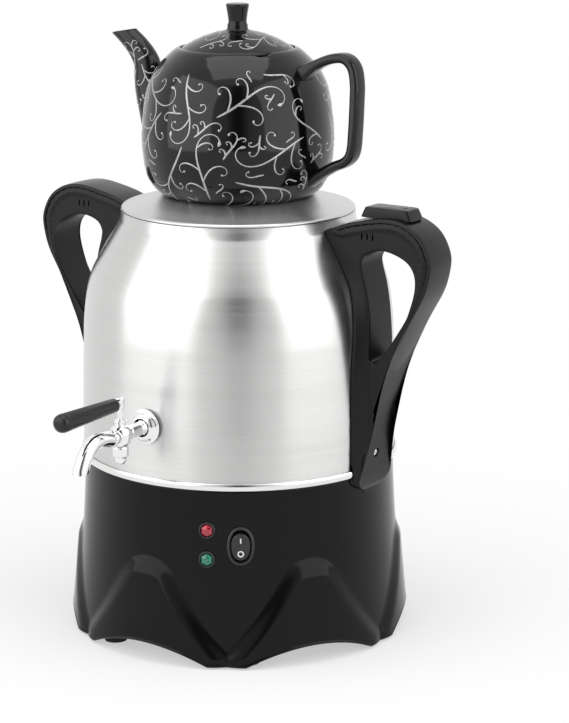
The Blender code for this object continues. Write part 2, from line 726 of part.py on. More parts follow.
def make_feet(frame, materials):
    """Rubber feet under the cover, one over each foot of the housing, each with a hollow in its sole."""
    stages = [
        (FOOT_HOLLOW_RADIUS * 0.8, FOOT_HOLLOW_DEPTH), (FOOT_HOLLOW_RADIUS, 0), (FOOT_RADIUS, 0),
        (FOOT_RADIUS, COVER_LIFT - GAP),
    ]
    mesh = rod_mesh("foot", stages, 20)
    circle = (HOUSING_FOOT_RADIUS - HOUSING_WALL) * FOOT_CIRCLE_SHARE
    for number in range(FOOT_COUNT):
        turn = (number + 0.5) * 2 * math.pi / FOOT_COUNT
        skew = FOOT_RADIUS * 1.7 / circle
        place = Matrix.Rotation(turn + skew, 4, "Z") @ Matrix.Translation((0, -circle, 0))
        add_object(f"foot_{number + 1}", mesh, materials["rubber"], frame, place)


def make_trim_ring(frame, materials):
    inner, outer = TANK_RADIUS + GAP, TANK_RADIUS + GAP + RING_PROUD
    low = TANK_FOOT_Z
    outline = [
        (inner, low), (outer - RING_PROUD / 3, low), (outer, low + RING_HEIGHT * 0.25),
        (outer, low + RING_HEIGHT * 0.75), (outer - RING_PROUD / 3, low + RING_HEIGHT),
        (inner, low + RING_HEIGHT),
    ]
    mesh = turned_mesh("trim_ring", outline, TANK_SEGMENTS)
    return add_object("trim_ring", mesh, materials["chrome"], frame)


# Tank and heater


def make_tank(frame, materials):
    outside = tank_outline()
    inside = pushed_out(outside, -TANK_WALL)
    inside[-1] = (outside[-1, 0] - TANK_WALL, TANK_TOP_Z)
    above = inside[inside[:, 1] > TANK_FLOOR_Z + TANK_WALL][::-1]
    wall_in = TANK_RADIUS - TANK_WALL
    outline = [tuple(point) for point in outside] + [tuple(point) for point in above]
    outline += [(wall_in, TANK_FLOOR_Z + 4 * TANK_WALL), (wall_in - 3 * TANK_WALL, TANK_FLOOR_Z + TANK_WALL)]
    skirt = [(wall_in - 3 * TANK_WALL, TANK_FLOOR_Z), (wall_in, TANK_FLOOR_Z), (wall_in, TANK_FOOT_Z)]
    turns = np.arange(TANK_SEGMENTS) * 2 * math.pi / TANK_SEGMENTS

    def ring_rows(points):
        points = np.asarray(points, float)
        return np.stack([
            points[:, :1] * np.sin(turns), -points[:, :1] * np.cos(turns),
            np.repeat(points[:, 1:2], TANK_SEGMENTS, axis=1),
        ], axis=2)

    upper = ring_rows([(wall_in, TANK_FOOT_Z)] + outline + [(0, TANK_FLOOR_Z + TANK_WALL)])
    lower = ring_rows([(0, TANK_FLOOR_Z)] + skirt)
    mesh = grid_mesh("tank", np.concatenate([upper, lower]), False, True)
    tank = add_object("tank", mesh, materials["steel"], frame)
    shank = TAP_SHANK_RADIUS + GAP
    hole = rod_mesh("tap_hole", [(shank, -OVERRUN), (shank, OVERRUN)], 20)
    cut(tank, "tap_hole", hole, facing_out(0, TANK_RADIUS - TANK_WALL / 2, TAP_Z))
    for side in (1, -1):
        radius = ELEMENT_RADIUS + GAP
        hole = rod_mesh("leg_hole", [(radius, TANK_FLOOR_Z - OVERRUN), (radius, TANK_FLOOR_Z + OVERRUN)], 12)
        cut(tank, f"leg_hole_{side}", hole, Matrix.Translation(element_leg(side)))
        name = "right" if side > 0 else "left"
        radius = SCREW_RADIUS + GAP
        hole = rod_mesh("screw_hole", [(radius, -3 * OVERRUN), (radius, OVERRUN)], 12)
        cut(tank, f"screw_hole_{name}", hole, edge_frame(LOWER_SCREW_SHARE, side))
    return tank


def element_leg(side):
    return Vector((side * ELEMENT_LEG_SPACING / 2, ELEMENT_LOOP_RADIUS, 0))


def make_heating_element(frame, materials):
    """A round rod: up one leg through the tank's floor, round a ring, and down the other leg."""
    high = TANK_FLOOR_Z + TANK_WALL + ELEMENT_LIFT
    low = TANK_FLOOR_Z - ELEMENT_LEG_DROP
    half = math.asin(ELEMENT_LEG_SPACING / 2 / ELEMENT_LOOP_RADIUS)
    leg = element_leg(1)
    bend = ELEMENT_RADIUS * 1.2
    route = [(leg.x, leg.y, low), (leg.x, leg.y, (low + high) / 2), (leg.x, leg.y, high - bend)]
    first = half + bend * 1.6 / ELEMENT_LOOP_RADIUS
    for step in range(ELEMENT_POINTS):
        turn = first + (2 * math.pi - 2 * first) * step / (ELEMENT_POINTS - 1)
        route.append((ELEMENT_LOOP_RADIUS * math.sin(turn), ELEMENT_LOOP_RADIUS * math.cos(turn), high))
    route += [(-x, y, z) for x, y, z in route[2::-1]]
    curve = bpy.data.curves.new("heating_element", "CURVE")
    curve.dimensions = "3D"
    curve.bevel_depth = ELEMENT_RADIUS
    curve.bevel_resolution = 1
    curve.use_fill_caps = True
    spline = curve.splines.new("POLY")
    spline.points.add(len(route) - 1)
    for point, place in zip(spline.points, route):
        point.co = (*place, 1)
    add_object("heating_element", curve, materials["steel"], frame)
    for side, name in ((1, "right"), (-1, "left")):
        inner = ELEMENT_RADIUS + GAP
        outer_z = TANK_FLOOR_Z - GAP
        outline = [(inner, outer_z - GLAND_HEIGHT), (GLAND_RADIUS, outer_z - GLAND_HEIGHT),
                   (GLAND_RADIUS, outer_z), (inner, outer_z)]
        place = Matrix.Translation(element_leg(side))
        mesh = turned_mesh("element_nut", outline, 6)
        nut = add_object(f"element_nut_{name}", mesh, materials["brass"], frame, place)
        bore = [(inner, outer_z - GLAND_HEIGHT - OVERRUN), (inner, outer_z + OVERRUN)]
        cut(nut, f"nut_bore_{name}", rod_mesh("nut_bore", bore, 12), place)


def make_thermostats(frame, materials):
    """Two disc thermostats under the tank's floor: one works, the other cuts out if the tank boils dry."""
    top = TANK_FLOOR_Z - GAP
    stages = [
        (THERMOSTAT_RADIUS, top - THERMOSTAT_HEIGHT - THERMOSTAT_FLANGE_HEIGHT),
        (THERMOSTAT_RADIUS, top - THERMOSTAT_FLANGE_HEIGHT),
        (THERMOSTAT_FLANGE_RADIUS, top - THERMOSTAT_FLANGE_HEIGHT), (THERMOSTAT_FLANGE_RADIUS, top),
    ]
    for side, name in ((1, "thermostat"), (-1, "dry_boil_cutout")):
        place = Matrix.Translation((side * THERMOSTAT_SPACING / 2, 0, 0))
        add_object(name, rod_mesh(name, stages, 20), materials["soft_black"], frame, place)


def make_terminal_block(frame, materials):
    long, deep, tall = TERMINAL_BLOCK_SIZE
    low = COVER_Z + GAP
    mesh = box_mesh("terminal_block", (-long / 2, -deep / 2, low), (long / 2, deep / 2, low + tall))
    block = add_object("terminal_block", mesh, materials["silicone"], frame)
    for number in range(TERMINAL_COUNT):
        x = (number - (TERMINAL_COUNT - 1) / 2) * long / TERMINAL_COUNT
        top = low + tall
        hole = rod_mesh("terminal_hole", [
            (TERMINAL_HOLE_RADIUS, top - TERMINAL_HOLE_DEPTH), (TERMINAL_HOLE_RADIUS, top + OVERRUN),
        ], 10)
        cut(block, f"terminal_hole_{number + 1}", hole, Matrix.Translation((x, 0, 0)))


def make_inlet(frame, materials, housing):
    """The socket for a mains lead, at the back: a flanged box with three flat pins."""
    lift = HOUSING_HEIGHT * INLET_LIFT_SHARE
    wall = float(housing_radius(math.pi, lift))
    face = wall + INLET_PAD_MARGIN
    place = facing_out(math.pi, face, lift)
    half_w, half_t = INLET_FLANGE_WIDTH / 2 + INLET_PAD_MARGIN, INLET_FLANGE_TALL / 2 + INLET_PAD_MARGIN
    depth = HOUSING_WALL + INLET_PAD_MARGIN
    pad = box_mesh("inlet_pad", (-half_w, -half_t, -depth), (half_w, half_t, 0))
    join(housing, "inlet_pad", pad, place)
    half_w, half_t = INLET_WIDTH / 2, INLET_TALL / 2
    opening = box_mesh("inlet_opening", (-half_w - GAP, -half_t - GAP, -depth - 2 * OVERRUN),
                       (half_w + GAP, half_t + GAP, OVERRUN))
    cut(housing, "inlet_opening", opening, place)
    back = INLET_FLANGE_THICKNESS + GAP
    body = box_mesh("mains_inlet", (-half_w, -half_t, back - INLET_DEPTH), (half_w, half_t, back))
    inlet = add_object("mains_inlet", body, materials["soft_black"], frame, place)
    half_fw, half_ft = INLET_FLANGE_WIDTH / 2, INLET_FLANGE_TALL / 2
    flange = box_mesh("inlet_flange", (-half_fw, -half_ft, GAP), (half_fw, half_ft, back))
    join(inlet, "inlet_flange", flange, place)
    floor = back - INLET_DEPTH + INLET_WALL
    recess = box_mesh("inlet_recess", (-half_w + INLET_WALL, -half_t + INLET_WALL, floor),
                      (half_w - INLET_WALL, half_t - INLET_WALL, back + OVERRUN))
    cut(inlet, "inlet_recess", recess, place)
    reach = floor + (back - floor) * PIN_REACH_SHARE
    for number, (x, y) in enumerate(((-PIN_SPACING / 2, 0), (0, PIN_RISE), (PIN_SPACING / 2, 0))):
        pin = box_mesh("pin", (x - PIN_WIDTH / 2, y - PIN_TALL / 2, floor - INLET_WALL / 2),
                       (x + PIN_WIDTH / 2, y + PIN_TALL / 2, reach))
        join(inlet, f"inlet_pin_{number + 1}", pin, place)


# Lid


def make_lid(frame, materials):
    edge = NECK_RADIUS
    low, brim = LID_FOOT_Z, LID_FOOT_Z + LID_EDGE_HEIGHT
    seat = LID_TOP_Z - LID_SEAT_DEPTH
    skirt = edge - LID_SKIRT_INSET
    ring_out = LID_SEAT_RADIUS + LID_SEAT_RIM
    outline = [
        (0, seat), (LID_SEAT_RADIUS, seat), (LID_SEAT_RADIUS, LID_TOP_Z), (ring_out, LID_TOP_Z),
        (ring_out + 2 * LID_SEAT_RIM, LID_TOP_Z - LID_SEAT_DEPTH / 2),
        (edge - LID_EDGE_HEIGHT, brim + LID_EDGE_HEIGHT / 3),
        (edge - LID_EDGE_HEIGHT / 4, brim - LID_EDGE_HEIGHT / 5),
        (edge, low + LID_EDGE_HEIGHT / 2), (edge, low),
        (skirt, low), (skirt, low - LID_SKIRT_DEPTH), (skirt - LID_THICKNESS, low - LID_SKIRT_DEPTH),
        (skirt - LID_THICKNESS, low), (ring_out, LID_TOP_Z - LID_SEAT_DEPTH / 2 - LID_THICKNESS),
        (LID_SEAT_RADIUS - LID_THICKNESS, seat - LID_THICKNESS), (0, seat - LID_THICKNESS),
    ]
    mesh = turned_mesh("lid", outline, LID_SEGMENTS, closed=False)
    add_object("lid", mesh, materials["steel"], frame)
    inner, outer = skirt + GAP, NECK_RADIUS - TANK_WALL - GAP
    high = low - GAP
    seal = [(inner, high - SEAL_HEIGHT), (outer - GAP, high - SEAL_HEIGHT), (outer, high - SEAL_HEIGHT / 2),
            (outer - GAP, high), (inner, high)]
    add_object("lid_seal", turned_mesh("lid_seal", seal, LID_SEGMENTS), materials["silicone"], frame)


# Handles


def handle_mesh(name, side):
    """The loop: rings of points between the hole's edge and the outer edge, on both faces."""
    centre = handle_points(HANDLE_HOLE_SHARES).mean(axis=0)
    outer = along_curve(handle_points(HANDLE_OUTLINE_SHARES), 8 * HANDLE_SAMPLES, closed=True)
    hole = along_curve(handle_points(HANDLE_HOLE_SHARES), HANDLE_SAMPLES, closed=True)
    picked, last = [], None
    start = int(np.argmin(np.linalg.norm(outer - (hole[0] + (hole[0] - centre) * 0.2), axis=1)))
    lengths = np.linalg.norm(np.diff(np.vstack([hole, hole[:1]]), axis=0), axis=1)
    along_hole = np.concatenate([[0], np.cumsum(lengths)[:-1]]) / lengths.sum()
    for share in along_hole:
        picked.append((start + int(round(share * len(outer)))) % len(outer))
    outer = outer[picked]
    layers = []
    for face in (-1, 1):
        shares = HANDLE_LOOP_SHARES if face < 0 else HANDLE_LOOP_SHARES[::-1]
        for share in shares:
            ring = hole + (outer - hole) * share
            half = handle_half_width(ring[:, 0], ring[:, 1])
            if share in (0, 1):
                half = half - HANDLE_CHAMFER
            layers.append(np.column_stack([side * ring[:, 0], face * half, ring[:, 1]]))
    return grid_mesh(name, np.stack(layers), True, True)


def make_handle(frame, materials, side, name):
    body = add_object(f"handle_{name}", handle_mesh("handle", side), materials["soft_black"], frame)
    middle_out, middle_z = handle_points([VENT_PLACE_SHARES])[0]
    for number in range(VENT_COUNT):
        x = side * (middle_out + (number - (VENT_COUNT - 1) / 2) * VENT_SPACING)
        for face in (-1, 1):
            y = face * HANDLE_HALF_WIDTH
            vent = box_mesh("vent", (x - VENT_WIDTH / 2, y - VENT_DEPTH, middle_z - VENT_TALL / 2),
                            (x + VENT_WIDTH / 2, y + VENT_DEPTH, middle_z + VENT_TALL / 2))
            cut(body, f"vent_{name}_{number + 1}_{'front' if face < 0 else 'back'}", vent)
    cut(body, f"handle_seat_{name}", clearance_mesh("handle_seat"))
    cut(body, f"strip_pocket_{name}", strip_mesh("strip_pocket", side, GAP, OVERRUN))
    strip = add_object(f"handle_cover_{name}", strip_mesh("strip", side), materials["soft_black"], frame)
    upper, lower = edge_frame(UPPER_SCREW_SHARE, side), edge_frame(LOWER_SCREW_SHARE, side)
    upper_length = upper_screw_length()
    for target in (strip, body):
        cut(target, f"upper_screw_way_{target.name}", screw_mesh("way", upper_length, GAP), upper)
    lower_length = lower_screw_length()
    cut(body, f"lower_screw_way_{name}", screw_mesh("way", lower_length + OVERRUN, GAP), lower)
    add_object(f"upper_handle_screw_{name}", screw_mesh("screw", upper_length), materials["chrome"],
               frame, upper)
    add_object(f"lower_handle_screw_{name}", screw_mesh("screw", lower_length), materials["chrome"],
               frame, lower)
    high = -(lower_length - NUT_HEIGHT - SCREW_RADIUS)
    radius = SCREW_RADIUS + GAP
    mesh = rod_mesh("nut", [(NUT_RADIUS, high - NUT_HEIGHT), (NUT_RADIUS, high)], 6)
    nut = add_object(f"handle_nut_{name}", mesh, materials["steel"], frame, lower)
    cut(nut, f"handle_nut_bore_{name}",
        rod_mesh("nut_bore", [(radius, high - NUT_HEIGHT - OVERRUN), (radius, high + OVERRUN)], 12), lower)
    return body, strip


def upper_screw_length():
    """A share of the plastic between the handle's outer edge and the tank."""
    place = edge_frame(UPPER_SCREW_SHARE, 1).translation
    return UPPER_SCREW_REACH_SHARE * (place.x - tank_radius(place.z))


def lower_screw_length():
    """From the head's face, through the handle's foot and the tank's skirt, to past the nut."""
    place = edge_frame(LOWER_SCREW_SHARE, 1)
    through = place.translation.x - (TANK_RADIUS - TANK_WALL)
    return through + 3 * GAP + NUT_HEIGHT + SCREW_RADIUS


def screw_mesh(name, length, clearance=0.0):
    """A screw along -Z from a sunk head, or the way it needs when given a clearance."""
    top = OVERRUN if clearance else -SCREW_SINK
    under = -SCREW_SINK - SCREW_HEAD_HEIGHT - clearance
    stages = [
        (SCREW_RADIUS + clearance, -length - clearance), (SCREW_RADIUS + clearance, under),
        (SCREW_HEAD_RADIUS + clearance, under), (SCREW_HEAD_RADIUS + clearance, top),
    ]
    return rod_mesh(name, stages, 12)


def make_slider(frame, materials, body, strip):
    """The sliding catch on top of the right handle: a block with sloped ends and a foot under the strip."""
    bed = HANDLE_TOP_Z - SLIDER_BED_DROP
    start = TANK_RADIUS + SLIDER_START_SHARE * HANDLE_INWARD
    low, end = bed + SLIDER_PLAY, start + SLIDER_LENGTH
    half = SLIDER_WIDTH / 2
    side_view = [(start, low), (end, low), (end - SLIDER_END_SLOPE, low + SLIDER_HEIGHT),
                 (start + SLIDER_END_SLOPE, low + SLIDER_HEIGHT)]
    upright = Matrix.Rotation(math.pi / 2, 4, "X")
    mesh = prism_mesh("slider", side_view, -half, half)
    block = add_object("lid_lock_slider", mesh, materials["soft_black"], frame, upright)
    middle = (start + end) / 2
    stem_low = bed - STRIP_THICKNESS - SLIDER_PLAY
    foot_low = stem_low - SLIDER_FOOT_HEIGHT
    half_l, half_w = SLIDER_STEM_LENGTH / 2, SLIDER_STEM_WIDTH / 2
    near, far = middle - half_l, middle + half_l
    stem = box_mesh("stem", (near, -half_w, foot_low), (far, half_w, low + SLIDER_HEIGHT / 2))
    join(block, "slider_stem", stem)
    half_foot = SLIDER_FOOT_WIDTH / 2
    foot = box_mesh("slider_foot", (near, -half_foot, foot_low), (far, half_foot, stem_low))
    join(block, "slider_foot", foot)
    travel = SLIDER_TRAVEL + SLIDER_PLAY
    bed_cut = box_mesh("slider_bed", (start - SLIDER_PLAY - OVERRUN, -half - SLIDER_PLAY, bed),
                       (end + travel + OVERRUN, half + SLIDER_PLAY, bed + OVERRUN))
    slot = box_mesh("slider_slot", (near - SLIDER_PLAY, -half_w - SLIDER_PLAY, foot_low - OVERRUN),
                    (far + travel, half_w + SLIDER_PLAY, bed + OVERRUN))
    half_foot += SLIDER_PLAY
    chamber = box_mesh("slider_chamber", (near - SLIDER_PLAY, -half_foot, foot_low - 2 * SLIDER_PLAY),
                       (far + travel, half_foot, bed + OVERRUN))
    cut(strip, "slider_bed", bed_cut)
    cut(strip, "slider_slot", slot)
    cut(body, "slider_chamber", chamber)


# Switch and lamps


def make_switch(frame, materials, housing):
    lift = HOUSING_HEIGHT * SWITCH_LIFT_SHARE
    tilt = housing_slope(lift)
    wall = float(housing_radius(CONTROL_TURN, lift))
    place = facing_out(CONTROL_TURN, wall - SWITCH_SINK, lift, tilt)

    def outline(inset):
        """The switch's oval outline, moved in by an inset."""
        return oval(SWITCH_WIDTH / 2 - inset, SWITCH_TALL / 2 - inset, SWITCH_SIDES, SWITCH_SQUARENESS)

    cut(housing, "switch_pocket", prism_mesh("switch_pocket", outline(-GAP), 0, OVERRUN), place)
    wall = SWITCH_FRAME / 2
    hole = prism_mesh("switch_hole", outline(wall - GAP), -2 * OVERRUN, OVERRUN)
    cut(housing, "switch_hole", hole, place)
    front = GAP + SWITCH_SINK + SWITCH_PROUD
    bezel = add_object("switch_frame", prism_mesh("switch_frame", outline(0), GAP, front),
                       materials["black_plastic"], frame, place)
    body = prism_mesh("switch_body", outline(wall), -SWITCH_DEPTH, front - GAP)
    join(bezel, "switch_body", body, place)
    well_floor = -ROCKER_BACK - 2 * ROCKER_PROUD
    well = prism_mesh("switch_well", outline(SWITCH_FRAME), well_floor, front + OVERRUN)
    cut(bezel, "switch_well", well, place)
    return place, front


def make_rocker(frame, materials, place, front):
    """The rocker turns about a level axis, half its depth behind the frame's face."""
    inset = SWITCH_FRAME + ROCKER_PLAY
    half_width, half_tall = SWITCH_WIDTH / 2 - inset, SWITCH_TALL / 2 - inset
    pivot_z = front - ROCKER_BACK / 2
    swing = Matrix.Translation((0, 0, pivot_z)) @ Matrix.Rotation(ROCKER_TILT, 4, "X")
    holder = bpy.data.objects.new("rocker_axis", None)
    bpy.context.scene.collection.objects.link(holder)
    holder.parent = frame
    holder.matrix_basis = place @ swing
    half = half_tall - ROCKER_BACK * math.sin(ROCKER_TILT)
    depth = ROCKER_BACK * ROCKER_BACK_SHARE
    face = front - pivot_z + ROCKER_PROUD / 2
    dip = ROCKER_PROUD * ROCKER_DIP_SHARE
    rows = []
    for turn in np.linspace(-1, 1, 11) * math.pi / 2:
        share = math.sin(turn) * ROCKER_END_SHARE
        y = share * half
        across = half_width * (1 - abs(share) ** SWITCH_SQUARENESS) ** (1 / SWITCH_SQUARENESS)
        z = face - dip * (1 - share * share)
        rows.append([(-across, y, -depth), (-across, y, z - dip / 2), (-across * 0.86, y, z),
                     (across * 0.86, y, z), (across, y, z - dip / 2), (across, y, -depth)])
    mesh = grid_mesh("switch_rocker", np.array(rows), False, True, cap_rows=True)
    return add_object("switch_rocker", mesh, materials["black_plastic"], holder)


def make_lamps(frame, materials, housing):
    for share, colour in zip(LAMP_LIFT_SHARES, ("red", "green")):
        lift = HOUSING_HEIGHT * share
        wall = float(housing_radius(LAMP_TURN, lift))
        place = facing_out(LAMP_TURN, wall - LAMP_SINK, lift, housing_slope(lift))
        pocket = rod_mesh("lamp_pocket", [(LAMP_RADIUS + GAP, 0), (LAMP_RADIUS + GAP, OVERRUN)], 18)
        cut(housing, f"lamp_pocket_{colour}", pocket, place)
        barrel = LAMP_BARREL_RADIUS + GAP
        hole = rod_mesh("lamp_hole", [(barrel, -2 * OVERRUN), (barrel, OVERRUN)], 18)
        cut(housing, f"lamp_hole_{colour}", hole, place)
        front = GAP + LAMP_SINK + LAMP_PROUD
        inner = LAMP_BARREL_RADIUS - LAMP_WALL
        outline = [
            (inner, -LAMP_DEPTH), (LAMP_BARREL_RADIUS, -LAMP_DEPTH), (LAMP_BARREL_RADIUS, GAP),
            (LAMP_RADIUS, GAP),
            (LAMP_RADIUS, front - LAMP_PROUD / 2), (LAMP_RADIUS - LAMP_PROUD / 2, front),
            (LAMP_BARREL_RADIUS, front), (LAMP_BARREL_RADIUS - LAMP_WALL / 3, front - LAMP_PROUD),
            (inner, GAP),
        ]
        bezel = turned_mesh("lamp_bezel", outline, 18)
        add_object(f"{colour}_lamp_bezel", bezel, materials["black_plastic"], frame, place)
        lens_radius = inner - GAP
        stages = [(lens_radius, -LAMP_DEPTH), (lens_radius, front - LAMP_PROUD / 2),
                  (lens_radius * 0.7, front - LAMP_PROUD / 2 + LENS_DOME * 0.7),
                  (lens_radius * 0.3, front - LAMP_PROUD / 2 + LENS_DOME)]
        add_object(f"{colour}_lamp_lens", rod_mesh("lamp_lens", stages, 18), materials[f"{colour}_lens"],
                   frame, place)


# Tap


def make_tap(frame, materials):
    """The tap's own frame has Z along the water's way out, from the tank's wall."""
    wall = facing_out(0, TANK_RADIUS, TAP_Z)
    at_ball = Matrix.Translation((0, TAP_Y, TAP_Z))
    washer_top = 2 * GAP + WASHER_THICKNESS + GAP
    shank = [
        (TAP_SHANK_RADIUS, -TAP_SHANK_DEPTH), (TAP_SHANK_RADIUS, washer_top + ROSETTE_HUB_HEIGHT / 3),
        (TAP_NECK_RADIUS, washer_top + ROSETTE_HUB_HEIGHT), (TAP_NECK_RADIUS, TAP_REACH + STEM_RADIUS),
    ]
    body = add_object("tap_body", rod_mesh("tap_body", shank, 20), materials["chrome"], frame, wall)
    half = TAP_BALL_HEIGHT / 2
    ball = [
        (TAP_BALL_RADIUS * 0.7, -half), (TAP_BALL_RADIUS * 0.93, -half * 0.62), (TAP_BALL_RADIUS, 0),
        (TAP_BALL_RADIUS * 0.93, half * 0.62), (TAP_BALL_RADIUS * 0.66, half),
        (COLLAR_RADIUS * 1.12, half), (COLLAR_RADIUS * 1.12, half + COLLAR_HEIGHT),
    ]
    join(body, "tap_ball", rod_mesh("tap_ball", ball, 20), at_ball)
    root = TAP_BALL_RADIUS + SPOUT_ROOT_SHARE * SPOUT_RADIUS
    outlet = rod_mesh("tap_outlet", [(SPOUT_RADIUS * 0.9, 0), (SPOUT_RADIUS * 0.9, root)], 20)
    outward = facing_out(0, -TAP_Y, TAP_Z)
    join(body, "tap_outlet", outlet, outward)
    inlet_end = -TAP_SHANK_DEPTH - OVERRUN
    water = rod_mesh("water_way", [(TAP_BORE_RADIUS, inlet_end), (TAP_BORE_RADIUS, TAP_REACH)], 16)
    cut(body, "water_way_in", water, wall)
    outlet_end = root + OVERRUN
    water = rod_mesh("water_way", [(TAP_BORE_RADIUS, -STEM_RADIUS), (TAP_BORE_RADIUS, outlet_end)], 16)
    cut(body, "water_way_out", water, outward)
    bore = PLUG_RADIUS + PLUG_PLAY
    high = half + COLLAR_HEIGHT + OVERRUN
    cut(body, "plug_bore", rod_mesh("plug_bore", [(bore, -half - OVERRUN), (bore, half * 0.75)], 20), at_ball)
    stem_bore = STEM_RADIUS + PLUG_PLAY
    cut(body, "stem_bore", rod_mesh("stem_bore", [(stem_bore, 0), (stem_bore, high)], 16), at_ball)

    hole = TAP_SHANK_RADIUS + GAP
    low = 2 * GAP + WASHER_THICKNESS + GAP
    rim = ROSETTE_RADIUS * 0.9
    washer = [(hole, 2 * GAP), (rim, 2 * GAP), (rim, low - GAP), (hole, low - GAP)]
    add_object("tap_washer", turned_mesh("tap_washer", washer, 24), materials["silicone"], frame, wall)
    rosette = [
        (hole, low), (ROSETTE_RADIUS, low), (ROSETTE_RADIUS, low + ROSETTE_THICKNESS * 0.35),
        (rim, low + ROSETTE_THICKNESS * 0.65), (ROSETTE_RADIUS * 0.7, low + ROSETTE_THICKNESS),
        (hole + GAP * 2, low + ROSETTE_THICKNESS), (hole, low + ROSETTE_THICKNESS * 0.9),
    ]
    add_object("tap_rosette", turned_mesh("tap_rosette", rosette, 20), materials["chrome"], frame, wall)
    inner_z = -TANK_WALL - GAP - LOCK_NUT_RADIUS**2 / (TANK_RADIUS - TANK_WALL)
    nut = add_object(
        "tap_lock_nut",
        rod_mesh("lock_nut", [(LOCK_NUT_RADIUS, inner_z - LOCK_NUT_HEIGHT), (LOCK_NUT_RADIUS, inner_z)], 6),
        materials["brass"], frame, wall,
    )
    cut(nut, "lock_nut_bore", rod_mesh("lock_nut_bore", [(hole, inlet_end), (hole, OVERRUN)], 24), wall)

    tip = -half - GAP - CAP_HEIGHT
    cap = [
        (CAP_TIP_RADIUS * 0.6, tip), (CAP_TIP_RADIUS, tip + CAP_TIP_RADIUS * 0.4),
        (CAP_RADIUS * 0.78, tip + CAP_HEIGHT * 0.42), (CAP_RADIUS, tip + CAP_HEIGHT * 0.46),
        (CAP_RADIUS, -half - GAP),
    ]
    add_object("tap_bottom_nut", rod_mesh("tap_bottom_nut", cap, 18), materials["chrome"], frame, at_ball)
    make_tap_spindle(frame, materials, half)
    make_tap_spout(frame, materials, root)


def make_tap_spindle(frame, materials, half):
    """Plug, stem and sleeve turn about the vertical through the ball. At rest the plug shuts the way."""
    axis = bpy.data.objects.new("tap_axis", None)
    bpy.context.scene.collection.objects.link(axis)
    axis.parent = frame
    axis.location = (0, TAP_Y, TAP_Z)
    collar_top = half + COLLAR_HEIGHT
    sleeve_low = LEVER_LIFT - SLEEVE_HEIGHT * 0.55
    sleeve_low = max(sleeve_low, collar_top + GAP)
    stages = [
        (PLUG_RADIUS, -half + GAP), (PLUG_RADIUS, half * 0.75 - GAP), (STEM_RADIUS, half * 0.75 - GAP),
        (STEM_RADIUS, sleeve_low), (SLEEVE_RADIUS * 0.75, sleeve_low + SLEEVE_RADIUS * 0.1),
        (SLEEVE_RADIUS, sleeve_low + SLEEVE_RADIUS * 0.6), (SLEEVE_RADIUS, sleeve_low + SLEEVE_HEIGHT),
    ]
    spindle = add_object("tap_spindle", rod_mesh("tap_spindle", stages, 20), materials["chrome"], axis)
    lever_z = sleeve_low + SLEEVE_HEIGHT * 0.52
    out = Matrix.Translation((0, 0, lever_z)) @ Matrix.Rotation(math.pi / 2, 4, "X")
    rod_end = LEVER_LENGTH - GRIP_END_RADIUS
    rod = rod_mesh("lever_rod", [(LEVER_ROD_RADIUS, 0), (LEVER_ROD_RADIUS, rod_end)], 12)
    join(spindle, "lever_rod", rod, out)
    across = Matrix.Rotation(math.pi / 2, 4, "Y")
    through = PLUG_RADIUS + OVERRUN
    cut(spindle, "plug_cross_bore",
        rod_mesh("cross_bore", [(TAP_BORE_RADIUS, -through), (TAP_BORE_RADIUS, through)], 14), across)
    inner = LEVER_ROD_RADIUS + GAP
    end = LEVER_LENGTH
    dome = GRIP_END_RADIUS * 0.55
    grip = [
        (0, rod_end + GAP), (inner, rod_end + GAP), (inner, GRIP_START),
        (GRIP_RADIUS * 0.85, GRIP_START), (GRIP_RADIUS, GRIP_START + GRIP_RADIUS * 0.3),
        (GRIP_END_RADIUS, end - dome), (GRIP_END_RADIUS * 0.86, end - dome * 0.45),
        (GRIP_END_RADIUS * 0.5, end - dome * 0.1), (0, end),
    ]
    mesh = turned_mesh("tap_grip", grip, 18, closed=False)
    add_object("tap_grip", mesh, materials["soft_black"], axis, out)


def make_tap_spout(frame, materials, root):
    """The curved spout: a tube whose way is a Bezier curve, cut level at its mouth."""
    start = np.array([-root - GAP, 0.0])
    end = np.array([-SPOUT_OUT, -SPOUT_DROP])
    reach = end - start
    (first_x, first_z), (second_x, second_z) = SPOUT_BEND_SHARES
    control = [
        start, start + np.array([reach[0] * first_x, -reach[1] * first_z]),
        start + np.array([reach[0] * second_x, -reach[1] * second_z]), end,
    ]
    t = np.linspace(0, 1, SPOUT_STEPS + 1)[:, None]
    way = (
        (1 - t) ** 3 * control[0] + 3 * (1 - t) ** 2 * t * control[1]
        + 3 * (1 - t) * t**2 * control[2] + t**3 * control[3]
    )
    sides = 12

    def tube(radius, name, longer):
        points = way.copy()
        if longer:
            ahead = points[-1] - points[-2]
            past = points[-1] + ahead / np.linalg.norm(ahead) * OVERRUN
            points = np.vstack([points[0] - (OVERRUN, 0), points, past])
        grid = swept_grid(points, lambda index: oval(radius, radius, sides))
        if not longer:
            grid[0, :, 0] = way[0, 0]
            grid[-1, :, 2] = way[-1, 1]
        turned = grid.copy()
        turned[:, :, 0], turned[:, :, 1] = -grid[:, :, 1], grid[:, :, 0]
        return grid_mesh(name, turned, False, True, cap_rows=True)

    place = Matrix.Translation((0, TAP_Y, TAP_Z))
    spout = add_object("tap_spout", tube(SPOUT_RADIUS, "tap_spout", False), materials["chrome"], frame, place)
    cut(spout, "spout_bore", tube(SPOUT_BORE_RADIUS, "spout_bore", True), place)


# Teapot


def pot_outline():
    shares = np.array(POT_OUTLINE_SHARES)
    return np.column_stack([shares[:, 0] * POT_RADIUS, POT_FOOT_Z + shares[:, 1] * POT_HEIGHT])


